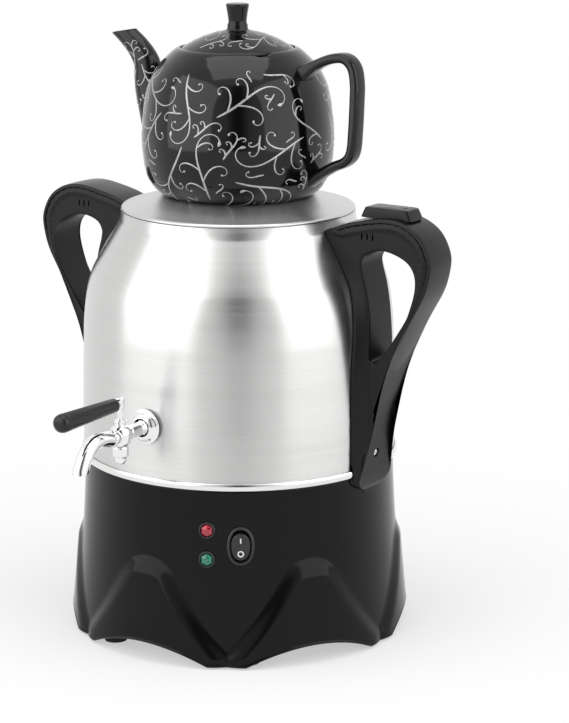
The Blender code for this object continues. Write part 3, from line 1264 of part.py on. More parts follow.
def make_teapot(frame, materials):
    outside = pot_outline()
    inside = pushed_out(outside, -POT_WALL)
    inside = inside[inside[:, 1] > POT_FOOT_Z + 2 * POT_WALL]
    mouth = POT_RADIUS * POT_MOUTH_SHARE
    ledge = POT_RADIUS * POT_LEDGE_SHARE
    ledge_z = POT_TOP_Z - POT_LEDGE_DROP
    inside = inside[inside[:, 1] < ledge_z - POT_WALL][::-1]
    foot = POT_RADIUS * POT_FOOT_RADIUS_SHARE
    floor = POT_FOOT_Z + POT_FOOT_DEPTH + POT_WALL
    sunk = POT_FOOT_Z + POT_FOOT_DEPTH
    outline = [(0, sunk), (foot - POT_FOOT_DEPTH, sunk), (foot, POT_FOOT_Z)]
    outline += [tuple(point) for point in outside] + [(0, POT_TOP_Z)]
    mesh = turned_mesh("teapot", outline, POT_SEGMENTS, closed=False)
    pot = add_object("teapot", mesh, materials["glaze"], frame)

    span = POT_SPOUT_REACH
    way = [(-share * span, POT_FOOT_Z + high * POT_HEIGHT) for share, high in POT_SPOUT_WAY_SHARES]
    way = along_curve(way, POT_SPOUT_STEPS)

    def spout_grid(scale, longer):
        points = way.copy()
        if longer:
            ahead = points[-1] - points[-2]
            points = np.vstack([points, points[-1] + ahead / np.linalg.norm(ahead) * 2 * OVERRUN])

        def section(index):
            share = min(index / (POT_SPOUT_STEPS - 1), 1)
            radius = POT_SPOUT_ROOT_RADIUS + (POT_SPOUT_TIP_RADIUS - POT_SPOUT_ROOT_RADIUS) * share**0.75
            return oval(radius * scale * 0.92, radius * scale, 18)

        return swept_grid(points, section)

    join(pot, "pot_spout", grid_mesh("pot_spout", spout_grid(1, False), False, True, cap_rows=True))
    grip_way = [
        (share * POT_GRIP_REACH, POT_FOOT_Z + high * POT_HEIGHT) for share, high in POT_GRIP_WAY_SHARES
    ]
    grip_way = along_curve(grip_way, POT_GRIP_STEPS)
    grip = swept_grid(grip_way, lambda index: oval(POT_GRIP_WIDTH / 2, POT_GRIP_THICKNESS / 2, 12, 3.2))
    join(pot, "pot_grip", grid_mesh("pot_grip", grip, False, True, cap_rows=True))
    core = [(0, floor), (outside[0, 0] * POT_FLOOR_SHARE, floor)] + [tuple(point) for point in inside[::-1]]
    core += [(ledge, ledge_z - POT_WALL * 0.8), (ledge, ledge_z), (mouth, ledge_z)]
    core += [(mouth, POT_TOP_Z + OVERRUN), (0, POT_TOP_Z + OVERRUN)]
    cut(pot, "pot_core", turned_mesh("pot_core", core, POT_SEGMENTS, closed=False))
    bore = spout_grid(POT_SPOUT_BORE_SHARE, True)
    cut(pot, "pot_spout_bore", grid_mesh("pot_spout_bore", bore, False, True, cap_rows=True))
    return mouth, ledge, ledge_z


def make_pot_lid(frame, materials, mouth, ledge, ledge_z):
    edge = mouth - 2 * GAP
    low = ledge_z + GAP
    brim = low + POT_LID_EDGE
    top = brim + POT_LID_DOME
    plug = ledge - 2 * GAP
    knob_foot = top - GAP
    knob_top = knob_foot + KNOB_HEIGHT
    dome = [
        (edge * math.cos(turn), brim + POT_LID_DOME * math.sin(turn))
        for turn in np.linspace(0, math.pi / 2, 8)[:-2]
    ]
    dome = [(radius, height) for radius, height in dome if radius > KNOB_NECK_RADIUS * 1.8]
    outline = [(0, low - POT_LID_PLUG_DEPTH), (plug - POT_WALL / 3, low - POT_LID_PLUG_DEPTH),
               (plug, low - POT_LID_PLUG_DEPTH * 0.8), (plug, low), (edge, low), *dome,
               (KNOB_NECK_RADIUS * 1.5, top - KNOB_DOME), (KNOB_NECK_RADIUS * 1.05, top),
               (KNOB_NECK_RADIUS, knob_foot + KNOB_HEIGHT * 0.15),
               (KNOB_NECK_RADIUS * 1.04, knob_foot + KNOB_HEIGHT * 0.3),
               (KNOB_TOP_RADIUS, knob_top - KNOB_DOME * 2),
               (KNOB_TOP_RADIUS * 0.92, knob_top - KNOB_DOME * 0.6),
               (KNOB_TOP_RADIUS * 0.5, knob_top - KNOB_DOME * 0.1), (0, knob_top)]
    mesh = turned_mesh("teapot_lid", outline, 24, closed=False)
    lid = add_object("teapot_lid", mesh, materials["glaze"], frame)
    mouth_low, roof = low - POT_LID_PLUG_DEPTH - OVERRUN, brim + POT_LID_DOME * 0.35
    inner = plug - POT_WALL
    hollow = [(0, mouth_low), (inner, mouth_low), (inner, low), (plug * 0.6, roof), (0, roof)]
    cut(lid, "pot_lid_hollow", turned_mesh("pot_lid_hollow", hollow, 24, closed=False))


def front_reach():
    return -TAP_Y + LEVER_LENGTH


def back_reach():
    turns = np.arange(HOUSING_SEGMENTS) * 2 * math.pi / HOUSING_SEGMENTS
    reach = 0.0
    for share in (0, *HOUSING_RING_SHARES):
        height = np.maximum(share * HOUSING_HEIGHT, arch_height(turns) + RIM_ROUND * (1 + share))
        reach = max(reach, float((-housing_radius(turns, height) * np.cos(turns) * -1).max()))
    return reach


def main():
    for piece in list(bpy.data.objects):
        bpy.data.objects.remove(piece)
    frame = bpy.data.objects.new("tank_axis", None)
    bpy.context.scene.collection.objects.link(frame)
    frame.location = (0, (front_reach() - back_reach()) / 2, 0)
    materials = make_materials()
    housing = make_housing(frame, materials)
    make_bottom_cover(frame, materials)
    make_feet(frame, materials)
    make_trim_ring(frame, materials)
    make_tank(frame, materials)
    make_heating_element(frame, materials)
    make_thermostats(frame, materials)
    make_terminal_block(frame, materials)
    make_inlet(frame, materials, housing)
    make_lid(frame, materials)
    body, strip = make_handle(frame, materials, 1, "right")
    make_handle(frame, materials, -1, "left")
    make_slider(frame, materials, body, strip)
    make_rocker(frame, materials, *make_switch(frame, materials, housing))
    make_lamps(frame, materials, housing)
    make_tap(frame, materials)
    make_pot_lid(frame, materials, *make_teapot(frame, materials))


main()
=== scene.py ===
"""Looks of an electric samovar: surfaces, finishes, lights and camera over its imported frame.

Metres, +Z up. The tap points to -Y, the handles lie along X and the table is at z = 0.
"""

import math

import bmesh
import bpy
import numpy as np
from bpy.props import FloatProperty, FloatVectorProperty, IntProperty, PointerProperty
from mathutils import Matrix, Vector


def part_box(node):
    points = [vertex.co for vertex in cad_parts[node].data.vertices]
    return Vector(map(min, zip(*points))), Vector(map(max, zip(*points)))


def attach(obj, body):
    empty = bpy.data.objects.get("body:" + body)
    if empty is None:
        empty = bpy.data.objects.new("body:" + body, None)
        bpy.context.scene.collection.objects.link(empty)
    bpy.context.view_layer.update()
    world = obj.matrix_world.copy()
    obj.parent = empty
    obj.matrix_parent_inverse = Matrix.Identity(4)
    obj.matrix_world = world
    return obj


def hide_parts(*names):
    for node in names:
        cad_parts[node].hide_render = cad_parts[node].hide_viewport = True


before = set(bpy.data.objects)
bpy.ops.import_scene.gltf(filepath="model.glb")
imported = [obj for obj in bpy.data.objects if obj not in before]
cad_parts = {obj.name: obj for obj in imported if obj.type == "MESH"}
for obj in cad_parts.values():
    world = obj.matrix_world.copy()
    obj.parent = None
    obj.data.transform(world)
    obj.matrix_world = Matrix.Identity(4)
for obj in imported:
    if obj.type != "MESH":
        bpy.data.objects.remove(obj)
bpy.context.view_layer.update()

bl_info = {
    "name": "Electric samovar",
    "version": (1, 0, 0),
    "blender": (4, 5, 0),
    "location": "View3D > Sidebar > Samovar",
    "description": "Builds the visible surfaces, finishes and studio of an electric samovar",
    "category": "Object",
}

TANK_LOW, TANK_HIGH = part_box("tank")
LID_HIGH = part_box("lid")[1]
POT_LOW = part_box("teapot")[0]
POT_LID_LOW, POT_LID_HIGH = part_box("teapot_lid")
HOUSING_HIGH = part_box("housing")[1]
HANDLE_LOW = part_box("handle_right")[0]
STRIP_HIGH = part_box("handle_cover_right")[1]
SLIDER_LOW, SLIDER_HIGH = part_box("lid_lock_slider")
SPINDLE_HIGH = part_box("tap_spindle")[1]
GRIP_LOW, GRIP_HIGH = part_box("tap_grip")
AXIS_Y = (TANK_LOW.y + TANK_HIGH.y) / 2
TURN = 2 * math.pi


# Sizes and colours that a user may change


class SamovarSizes(bpy.types.PropertyGroup):
    """Sizes of the visible surfaces."""

    tank_radius: FloatProperty(
        name="Tank radius", description="Outside radius of the steel tank",
        default=TANK_HIGH.x, unit="LENGTH",
    )
    wall: FloatProperty(
        name="Tank wall", description="Thickness of the tank's sheet", default=0.0012, unit="LENGTH",
    )
    housing_radius: FloatProperty(
        name="Housing top radius", description="Radius of the black base under the tank",
        default=0.1103, unit="LENGTH",
    )
    housing_spread: FloatProperty(
        name="Housing spread", description="How far the base spreads out towards its feet",
        default=0.0092, unit="LENGTH",
    )
    bell_depth: FloatProperty(
        name="Bell depth", description="How far the bell shapes stand out of the base",
        default=0.0031, unit="LENGTH",
    )
    handle_width: FloatProperty(
        name="Handle half width", description="Half the width of a handle at its outer side",
        default=0.015, unit="LENGTH",
    )
    handle_edge: FloatProperty(
        name="Handle edge", description="Radius of the rounded edges of a handle",
        default=0.0016, unit="LENGTH",
    )
    pot_radius: FloatProperty(
        name="Teapot radius", description="Largest radius of the teapot's body",
        default=0.067, unit="LENGTH",
    )
    scroll_width: FloatProperty(
        name="Scroll width", description="Width of the silver scroll lines on the teapot",
        default=0.0014, unit="LENGTH",
    )
    round_steps: IntProperty(
        name="Steps round", description="Number of steps round the tank and the lid", default=256,
        min=32, max=512,
    )


class SamovarColours(bpy.types.PropertyGroup):
    """Colours of the finishes."""

    steel: FloatVectorProperty(
        name="Steel", description="Colour of the brushed steel", default=(0.62, 0.615, 0.61),
        subtype="COLOR", size=3, min=0, max=1,
    )
    chrome: FloatVectorProperty(
        name="Chrome", description="Colour of the plated tap", default=(0.85, 0.85, 0.86),
        subtype="COLOR", size=3, min=0, max=1,
    )
    base: FloatVectorProperty(
        name="Base", description="Colour of the glossy black base", default=(0.0035, 0.0035, 0.004),
        subtype="COLOR", size=3, min=0, max=1,
    )
    handle: FloatVectorProperty(
        name="Handles", description="Colour of the satin black handles", default=(0.005, 0.005, 0.0053),
        subtype="COLOR", size=3, min=0, max=1,
    )
    glaze: FloatVectorProperty(
        name="Glaze", description="Colour of the teapot's black glaze", default=(0.003, 0.003, 0.0035),
        subtype="COLOR", size=3, min=0, max=1,
    )
    scroll: FloatVectorProperty(
        name="Scrolls", description="Colour of the silver scrolls", default=(0.4, 0.4, 0.41),
        subtype="COLOR", size=3, min=0, max=1,
    )
    red: FloatVectorProperty(
        name="Red lamp", description="Colour of the red lens", default=(0.3, 0.004, 0.02),
        subtype="COLOR", size=3, min=0, max=1,
    )
    green: FloatVectorProperty(
        name="Green lamp", description="Colour of the green lens", default=(0.0, 0.15, 0.09),
        subtype="COLOR", size=3, min=0, max=1,
    )


class StudioSettings(bpy.types.PropertyGroup):
    """Lights, floor and camera."""

    camera_turn: FloatProperty(
        name="Camera turn", description="How far the camera stands round from the tap",
        default=math.radians(34.5), subtype="ANGLE",
    )
    camera_distance: FloatProperty(
        name="Camera distance", description="Level distance from the tank's axis", default=1.726,
        unit="LENGTH",
    )
    camera_height: FloatProperty(
        name="Camera height", description="Height over the table", default=0.6067, unit="LENGTH",
    )
    camera_pitch: FloatProperty(
        name="Camera pitch", description="How far the camera looks down", default=0.238, subtype="ANGLE",
    )
    camera_yaw: FloatProperty(
        name="Camera yaw", description="How far the camera looks to the right of the axis",
        default=0.0188, subtype="ANGLE",
    )
    camera_lens: FloatProperty(
        name="Lens", description="Focal length in millimetres on a 36 mm frame", default=123.9,
    )
    softbox_power: FloatProperty(
        name="Softbox power", description="Power of each large softbox in watts", default=20.0,
    )
    fill: FloatProperty(
        name="Fill", description="Strength of the even light from all round", default=0.55,
    )


def sizes():
    return bpy.context.scene.samovar_sizes


def colours():
    return bpy.context.scene.samovar_colours


# Surfaces


def smooth_step(share):
    """0 up to 0, 1 from 1 on, and 3 s^2 - 2 s^3 between."""
    share = np.clip(share, 0, 1)
    return share * share * (3 - 2 * share)


def curve_through(points, count, closed=False):
    """Evenly spaced places on Hermite cubics through the points, whose slopes are half the chord over two."""
    points = np.asarray(points, float)
    if closed:
        slopes = (np.roll(points, -1, axis=0) - np.roll(points, 1, axis=0)) / 2
        points, slopes = np.vstack([points, points[:1]]), np.vstack([slopes, slopes[:1]])
    else:
        slopes = np.gradient(points, axis=0)
    t = np.linspace(0, 1, 24, endpoint=False)[None, :, None]
    start, end = points[:-1, None], points[1:, None]
    leave, arrive = slopes[:-1, None], slopes[1:, None]
    fine = (
        (2 * t**3 - 3 * t**2 + 1) * start + (t**3 - 2 * t**2 + t) * leave
        + (3 * t**2 - 2 * t**3) * end + (t**3 - t**2) * arrive
    ).reshape(-1, points.shape[1])
    fine = np.vstack([fine, points[-1:]])
    length = np.concatenate([[0], np.cumsum(np.linalg.norm(np.diff(fine, axis=0), axis=1))])
    places = np.linspace(0, length[-1], count, endpoint=not closed)
    return np.column_stack([np.interp(places, length, column) for column in fine.T])


def eased(points, radius, steps=4, closed=False):
    """A polyline whose corners are eased: each corner P becomes the parabola a (1-t)^2 + 2 P t (1-t) + b t^2."""
    points = np.asarray(points, float)
    count = len(points)
    radii = np.broadcast_to(np.asarray(radius, float), (count,))
    t = np.linspace(0, 1, steps + 1)[:, None]
    line = []
    for index in range(count):
        point = points[index]
        if not closed and index in (0, count - 1):
            line.append(point[None])
            continue
        before, after = points[index - 1] - point, points[(index + 1) % count] - point
        reach = min(radii[index], 0.45 * np.linalg.norm(before), 0.45 * np.linalg.norm(after))
        if reach < 1e-6:
            line.append(point[None])
            continue
        a = point + before / np.linalg.norm(before) * reach
        b = point + after / np.linalg.norm(after) * reach
        line.append(a * (1 - t) ** 2 + 2 * point * t * (1 - t) + b * t**2)
    return np.vstack(line)


def turned(profile, steps, start=0.0):
    """A profile of (radius, height) turned about the vertical: x = r sin a, y = -r cos a, z = height."""
    profile = np.asarray(profile, float)
    turns = start + np.arange(steps) * TURN / steps
    radius, height = profile[:, :1], profile[:, 1:2]
    return np.stack([radius * np.sin(turns), -radius * np.cos(turns), height + 0 * turns], axis=2)


def on_axis(grid):
    """Moves a surface made round the origin to the tank's axis."""
    return grid + np.array([0, AXIS_Y, 0])


def placed(grid, matrix):
    """Each point p becomes M p, for a matrix M that turns and moves."""
    matrix = np.array(matrix)
    return grid @ matrix[:3, :3].T + matrix[:3, 3]


def facing_out(turn, radius, height, tilt=0.0):
    """A frame on the wall: Z points out, Y up and X along the wall. Turn is counted from the tap."""
    out = Matrix.Translation((0, AXIS_Y, 0)) @ Matrix.Rotation(turn, 4, "Z")
    return out @ Matrix.Translation((0, -radius, height)) @ Matrix.Rotation(math.pi / 2 - tilt, 4, "X")


def swept(path, section, across=(0, 1, 0)):
    """Sections carried along a path: point = path + a * across + b * (across x tangent), for section (a, b)."""
    path = np.asarray(path, float)
    tangent = np.gradient(path, axis=0)
    tangent /= np.linalg.norm(tangent, axis=1)[:, None]
    across = np.broadcast_to(np.asarray(across, float), path.shape)
    other = np.cross(across, tangent)
    other /= np.linalg.norm(other, axis=1)[:, None]
    section = np.asarray(section, float)
    if section.ndim == 2:
        section = np.broadcast_to(section, (len(path), *section.shape))
    return path[:, None] + section[..., :1] * across[:, None] + section[..., 1:] * other[:, None]


def oval(half_a, half_b, count, power=2.0):
    """A closed superellipse: |a / half_a|^p + |b / half_b|^p = 1."""
    turns = np.arange(count) * TURN / count
    a = np.sign(np.cos(turns)) * np.abs(np.cos(turns)) ** (2 / power)
    b = np.sign(np.sin(turns)) * np.abs(np.sin(turns)) ** (2 / power)
    return np.column_stack([a * half_a, b * half_b])


def closed_ends(grid):
    """Adds a first and a last row that lie all at the middle of their neighbour, which closes a tube."""
    first = np.repeat(grid[:1].mean(axis=1, keepdims=True), grid.shape[1], axis=1)
    last = np.repeat(grid[-1:].mean(axis=1, keepdims=True), grid.shape[1], axis=1)
    return np.concatenate([first, grid, last])


def grid_faces(rows, columns, wrap_rows, wrap_columns):
    """Corner numbers of the quads between neighbouring rows and columns."""
    row = np.arange(rows if wrap_rows else rows - 1)[:, None]
    column = np.arange(columns if wrap_columns else columns - 1)[None, :]
    next_row, next_column = (row + 1) % rows, (column + 1) % columns
    return np.stack([
        row * columns + column, row * columns + next_column,
        next_row * columns + next_column, next_row * columns + column,
    ], axis=-1).reshape(-1, 4)


def surface_mesh(name, grids, wrap_rows=False, wrap_columns=True, sharp=40.0):
    """One mesh over one or more grids of points, with doubles merged and faces outwards."""
    if isinstance(grids, np.ndarray):
        grids = [grids]
    points, faces, count = [], [], 0
    for grid in grids:
        rows, columns = grid.shape[:2]
        faces.append(grid_faces(rows, columns, wrap_rows, wrap_columns) + count)
        points.append(grid.reshape(-1, 3))
        count += rows * columns
    mesh = bpy.data.meshes.new(name)
    mesh.from_pydata(np.vstack(points).tolist(), [], np.vstack(faces).tolist())
    work = bmesh.new()
    work.from_mesh(mesh)
    bmesh.ops.remove_doubles(work, verts=work.verts, dist=2e-7)
    bmesh.ops.dissolve_degenerate(work, edges=work.edges, dist=1e-8)
    bmesh.ops.recalc_face_normals(work, faces=work.faces)
    if work.calc_volume(signed=True) < 0:
        bmesh.ops.reverse_faces(work, faces=work.faces)
    work.to_mesh(mesh)
    work.free()
    mesh.shade_smooth()
    mesh.set_sharp_from_angle(angle=math.radians(sharp))
    return mesh


def add_piece(name, grids, material, body, replaced=(), slot=None, **options):
    """A finished piece that rides on a body and may stand for CAD nodes."""
    mesh = surface_mesh(name, grids, **options)
    mesh.materials.append(material)
    piece = bpy.data.objects.new(name, mesh)
    bpy.context.scene.collection.objects.link(piece)
    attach(piece, body)
    if replaced:
        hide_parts(*replaced)
    return piece


def carved(piece, grids, operation="DIFFERENCE", wrap_rows=False):
    """Cuts closed shapes out of a piece, or joins them to it, and keeps the result as its plain mesh."""
    tool_mesh = surface_mesh(piece.name + "_tool", grids, wrap_rows=wrap_rows)
    tool = bpy.data.objects.new(piece.name + "_tool", tool_mesh)
    bpy.context.scene.collection.objects.link(tool)
    modifier = piece.modifiers.new("carve", "BOOLEAN")
    modifier.operation = operation
    modifier.solver = "EXACT"
    modifier.object = tool
    graph = bpy.context.evaluated_depsgraph_get()
    made = bpy.data.meshes.new_from_object(piece.evaluated_get(graph))
    piece.modifiers.remove(modifier)
    old = piece.data
    material = old.materials[0]
    made.materials.clear()
    made.materials.append(material)
    index = np.zeros(len(made.polygons), np.int32)
    made.polygons.foreach_set("material_index", index)
    made.name = piece.name
    piece.data = made
    bpy.data.meshes.remove(old)
    bpy.data.objects.remove(tool)
    bpy.data.meshes.remove(tool_mesh)
    made.shade_smooth()
    made.set_sharp_from_angle(angle=math.radians(35))
    return piece


def box_grid(low, high):
    """A closed box as a grid: bottom middle, bottom square, top square, top middle."""
    (x0, y0, z0), (x1, y1, z1) = low, high
    square = np.array([(x0, y0), (x1, y0), (x1, y1), (x0, y1)])
    rows = [np.column_stack([square, np.full(4, z)]) for z in (z0, z1)]
    return closed_ends(np.stack(rows))


def paint_node(name, material):
    """Gives a CAD node a finish."""
    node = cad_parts[name]
    node.data.materials.clear()
    node.data.materials.append(material)


# Finishes


def new_group(name, inputs, outputs):
    """A node group with named inputs (kind, default) and outputs (kind)."""
    group = bpy.data.node_groups.new(name, "ShaderNodeTree")
    for label, (kind, default) in inputs.items():
        socket = group.interface.new_socket(label, in_out="INPUT", socket_type=kind)
        if default is not None:
            socket.default_value = default
    for label, kind in outputs.items():
        group.interface.new_socket(label, in_out="OUTPUT", socket_type=kind)
    return group, group.nodes.new("NodeGroupInput"), group.nodes.new("NodeGroupOutput")


def add_node(tree, kind, settings=None, **values):
    """A node with its settings, whose named inputs take a value or a socket to link from."""
    node = tree.nodes.new(kind)
    for key, value in (settings or {}).items():
        setattr(node, key, value)
    for key, value in values.items():
        key = key.replace("_", " ")
        socket = node.inputs[int(key)] if key.isdigit() else node.inputs[key]
        if isinstance(value, bpy.types.NodeSocket):
            tree.links.new(value, socket)
        else:
            socket.default_value = value
    return node


def maths(tree, operation, *values):
    node = tree.nodes.new("ShaderNodeMath")
    node.operation = operation
    for socket, value in zip(node.inputs, values):
        if isinstance(value, bpy.types.NodeSocket):
            tree.links.new(value, socket)
        else:
            socket.default_value = value
    return node.outputs[0]


def noise(tree, vector, scale, detail=2.0, roughness=0.5):
    node = add_node(tree, "ShaderNodeTexNoise", Vector=vector, Scale=scale, Detail=detail,
                    Roughness=roughness)
    return node.outputs["Fac"]


def stretched(tree, vector, scale):
    return add_node(tree, "ShaderNodeMapping", Vector=vector, Scale=scale).outputs["Vector"]


def make_brushed_group():
    """Long fine scratches: noise pressed flat along one direction, coarse and fine together."""
    group, given, out = new_group(
        "Brushed Scratches",
        {"Vector": ("NodeSocketVector", None), "Fineness": ("NodeSocketFloat", 1.0)},
        {"Height": "NodeSocketFloat", "Streaks": "NodeSocketFloat"},
    )
    scaled = add_node(group, "ShaderNodeVectorMath", {"operation": "SCALE"}, Scale=given.outputs["Fineness"],
                      **{"0": given.outputs["Vector"]}).outputs[0]
    fine = noise(group, stretched(group, scaled, (9, 9, 2600)), 1.0, 3.0, 0.6)
    coarse = noise(group, stretched(group, scaled, (3, 3, 520)), 1.0, 2.0, 0.5)
    wide = noise(group, stretched(group, scaled, (1.5, 1.5, 60)), 1.0, 1.0, 0.5)
    both = maths(group, "ADD", maths(group, "MULTIPLY", fine, 0.6), maths(group, "MULTIPLY", coarse, 0.4))
    group.links.new(both, out.inputs["Height"])
    streaks = maths(group, "ADD", maths(group, "MULTIPLY", both, 0.7), maths(group, "MULTIPLY", wide, 0.3))
    group.links.new(streaks, out.inputs["Streaks"])
    return group


def make_handling_group():
    """Faint smudges and dust: large soft noise, sharpened, times fine noise."""
    group, given, out = new_group(
        "Handling Marks",
        {"Vector": ("NodeSocketVector", None), "Size": ("NodeSocketFloat", 30.0),
         "Amount": ("NodeSocketFloat", 0.1)},
        {"Mask": "NodeSocketFloat"},
    )
    large = noise(group, given.outputs["Vector"], given.outputs["Size"], 4.0, 0.55)
    fine = noise(group, given.outputs["Vector"], maths(group, "MULTIPLY", given.outputs["Size"], 14.0), 2.0,
                 0.6)
    mixed = maths(group, "MULTIPLY", large, maths(group, "ADD", maths(group, "MULTIPLY", fine, 0.5), 0.75))
    centred = maths(group, "SUBTRACT", mixed, 0.5)
    group.links.new(maths(group, "MULTIPLY", centred, given.outputs["Amount"]), out.inputs["Mask"])
    return group


def make_moulded_group():
    """The skin of moulded plastic: small soft pits from a Voronoi pattern, and finer noise."""
    group, given, out = new_group(
        "Moulded Skin",
        {"Vector": ("NodeSocketVector", None), "Pitch": ("NodeSocketFloat", 1500.0)},
        {"Height": "NodeSocketFloat"},
    )
    cells = add_node(group, "ShaderNodeTexVoronoi", {"feature": "SMOOTH_F1"}, Vector=given.outputs["Vector"],
                     Scale=given.outputs["Pitch"]).outputs["Distance"]
    fine = noise(group, given.outputs["Vector"], maths(group, "MULTIPLY", given.outputs["Pitch"], 1.7), 2.0,
                 0.6)
    total = maths(group, "ADD", maths(group, "MULTIPLY", cells, 0.6), maths(group, "MULTIPLY", fine, 0.4))
    group.links.new(total, out.inputs["Height"])
    return group


def new_material(name, colour, roughness, metallic=0.0, **constants):
    material = bpy.data.materials.new(name)
    material.use_nodes = True
    tree = material.node_tree
    shader = tree.nodes["Principled BSDF"]
    shader.inputs["Base Color"].default_value = (*colour, 1)
    shader.inputs["Roughness"].default_value = roughness
    shader.inputs["Metallic"].default_value = metallic
    for key, value in constants.items():
        shader.inputs[key.replace("_", " ")].default_value = value
    material.diffuse_color = (*colour, 1)
    return material, tree, shader


def object_vector(tree, centred=False):
    """Object coordinates, or those counted from the tank's axis."""
    vector = tree.nodes.new("ShaderNodeTexCoord").outputs["Object"]
    if centred:
        vector = add_node(tree, "ShaderNodeMapping", Vector=vector,
                          Location=(0, -AXIS_Y, 0)).outputs["Vector"]
    return vector


def placed_group(tree, name, **values):
    node = tree.nodes.new("ShaderNodeGroup")
    node.node_tree = bpy.data.node_groups[name]
    for key, value in values.items():
        if isinstance(value, bpy.types.NodeSocket):
            tree.links.new(value, node.inputs[key])
        else:
            node.inputs[key].default_value = value
    return node


def add_bump(tree, shader, height, strength, distance):
    bump = add_node(tree, "ShaderNodeBump", Height=height, Strength=strength, Distance=distance)
    tree.links.new(bump.outputs["Normal"], shader.inputs["Normal"])
    return bump


def vary_roughness(tree, shader, base, mask, low=0.02, high=1.0):
    """Roughness is the base value plus the mask, kept between two limits."""
    total = maths(tree, "ADD", mask, base)
    tree.links.new(maths(tree, "MINIMUM", maths(tree, "MAXIMUM", total, low), high),
                   shader.inputs["Roughness"])


def shade_colour(tree, shader, colour, mask, reach):
    """Base colour times a factor that runs from 1 - reach to 1 + reach with the mask."""
    factor = maths(tree, "ADD", maths(tree, "MULTIPLY", maths(tree, "SUBTRACT", mask, 0.5), 2 * reach), 1.0)
    tint = add_node(tree, "ShaderNodeVectorMath", {"operation": "SCALE"}, Scale=factor,
                    **{"0": tuple(colour)}).outputs[0]
    tree.links.new(tint, shader.inputs["Base Color"])


def ring_vector(tree, vector):
    """Turns (x, y, z) into (x, y, distance from the axis), so that scratches run round."""
    split = add_node(tree, "ShaderNodeSeparateXYZ", Vector=vector)
    x, y = split.outputs["X"], split.outputs["Y"]
    square = maths(tree, "ADD", maths(tree, "MULTIPLY", x, x), maths(tree, "MULTIPLY", y, y))
    return add_node(tree, "ShaderNodeCombineXYZ", X=x, Y=y, Z=maths(tree, "SQRT", square)).outputs["Vector"]


def make_steel(name, colour, roughness, round_axis=False, grain=0.25, marks=0.08, across=0.0):
    """Brushed stainless steel: scratches round the axis, reflections smeared across them, uneven roughness."""
    material, tree, shader = new_material(name, colour, roughness, 1.0, Anisotropic=across)
    vector = object_vector(tree, centred=True)
    if across:
        flat = (1, 1, 0) if round_axis else (0, 0, 0)
        smear = add_node(tree, "ShaderNodeVectorMath", {"operation": "MULTIPLY_ADD"}, **{
            "0": vector, "1": flat, "2": (0, 0, 0) if round_axis else (0, 0, 1)}).outputs[0]
        tree.links.new(smear, shader.inputs["Tangent"])
    lines = ring_vector(tree, vector) if round_axis else vector
    brushed = placed_group(tree, "Brushed Scratches", Vector=lines, Fineness=1.0)
    handled = placed_group(tree, "Handling Marks", Vector=vector, Size=14.0, Amount=marks)
    shade_colour(tree, shader, colour, brushed.outputs["Streaks"], 0.16)
    wave = maths(tree, "MULTIPLY", maths(tree, "SUBTRACT", brushed.outputs["Streaks"], 0.5), 0.22)
    vary_roughness(tree, shader, roughness, maths(tree, "ADD", wave, handled.outputs["Mask"]), 0.12, 0.6)
    add_bump(tree, shader, brushed.outputs["Height"], grain, 0.00006)
    return material


def make_plastic(name, colour, roughness, pitch, grain, marks, specular=0.5, coat=0.0):
    """Moulded plastic with a fine skin and faint handling marks."""
    material, tree, shader = new_material(
        name, colour, roughness, Specular_IOR_Level=specular, Coat_Weight=coat, Coat_Roughness=0.05,
    )
    vector = object_vector(tree)
    skin = placed_group(tree, "Moulded Skin", Vector=vector, Pitch=pitch)
    handled = placed_group(tree, "Handling Marks", Vector=vector, Size=22.0, Amount=marks)
    vary_roughness(tree, shader, roughness, handled.outputs["Mask"])
    shade_colour(tree, shader, colour, maths(tree, "ADD", handled.outputs["Mask"], 0.5), 0.6)
    add_bump(tree, shader, skin.outputs["Height"], grain, 0.00008)
    return material


def make_polished(name, colour, roughness, marks, ripple=0.0, size=40.0):
    """Polished plating: nearly even, with faint smudges and a slight unevenness."""
    material, tree, shader = new_material(name, colour, roughness, 1.0)
    vector = object_vector(tree)
    handled = placed_group(tree, "Handling Marks", Vector=vector, Size=size, Amount=marks)
    vary_roughness(tree, shader, roughness, handled.outputs["Mask"])
    shade_colour(tree, shader, colour, maths(tree, "ADD", handled.outputs["Mask"], 0.5), 0.3)
    if ripple:
        add_bump(tree, shader, noise(tree, vector, 90.0, 2.0), ripple, 0.0003)
    return material


def make_glaze():
    """Black glaze: a dark body under a clear coat that undulates slightly."""
    colour = colours().glaze
    material, tree, shader = new_material(
        "Black glaze", colour, 0.12, Specular_IOR_Level=0.24, Coat_Weight=0.2, Coat_Roughness=0.03,
    )
    vector = object_vector(tree)
    handled = placed_group(tree, "Handling Marks", Vector=vector, Size=18.0, Amount=0.05)
    vary_roughness(tree, shader, 0.1, handled.outputs["Mask"])
    pool = noise(tree, vector, 12.0, 1.0)
    shade_colour(tree, shader, colour, pool, 0.4)
    bump = add_bump(tree, shader, noise(tree, vector, 55.0, 2.0, 0.45), 0.1, 0.0006)
    tree.links.new(bump.outputs["Normal"], shader.inputs["Coat Normal"])
    return material


def make_scroll_silver():
    """Printed silver lustre: bright metal, patchy where the print is thin."""
    colour = colours().scroll
    material, tree, shader = new_material("Silver lustre", colour, 0.42, 0.75)
    vector = object_vector(tree)
    patch = noise(tree, vector, 420.0, 3.0, 0.65)
    shade_colour(tree, shader, colour, patch, 0.55)
    vary_roughness(tree, shader, 0.4, maths(tree, "MULTIPLY", maths(tree, "SUBTRACT", patch, 0.5), 0.3))
    add_bump(tree, shader, patch, 0.3, 0.00005)
    return material


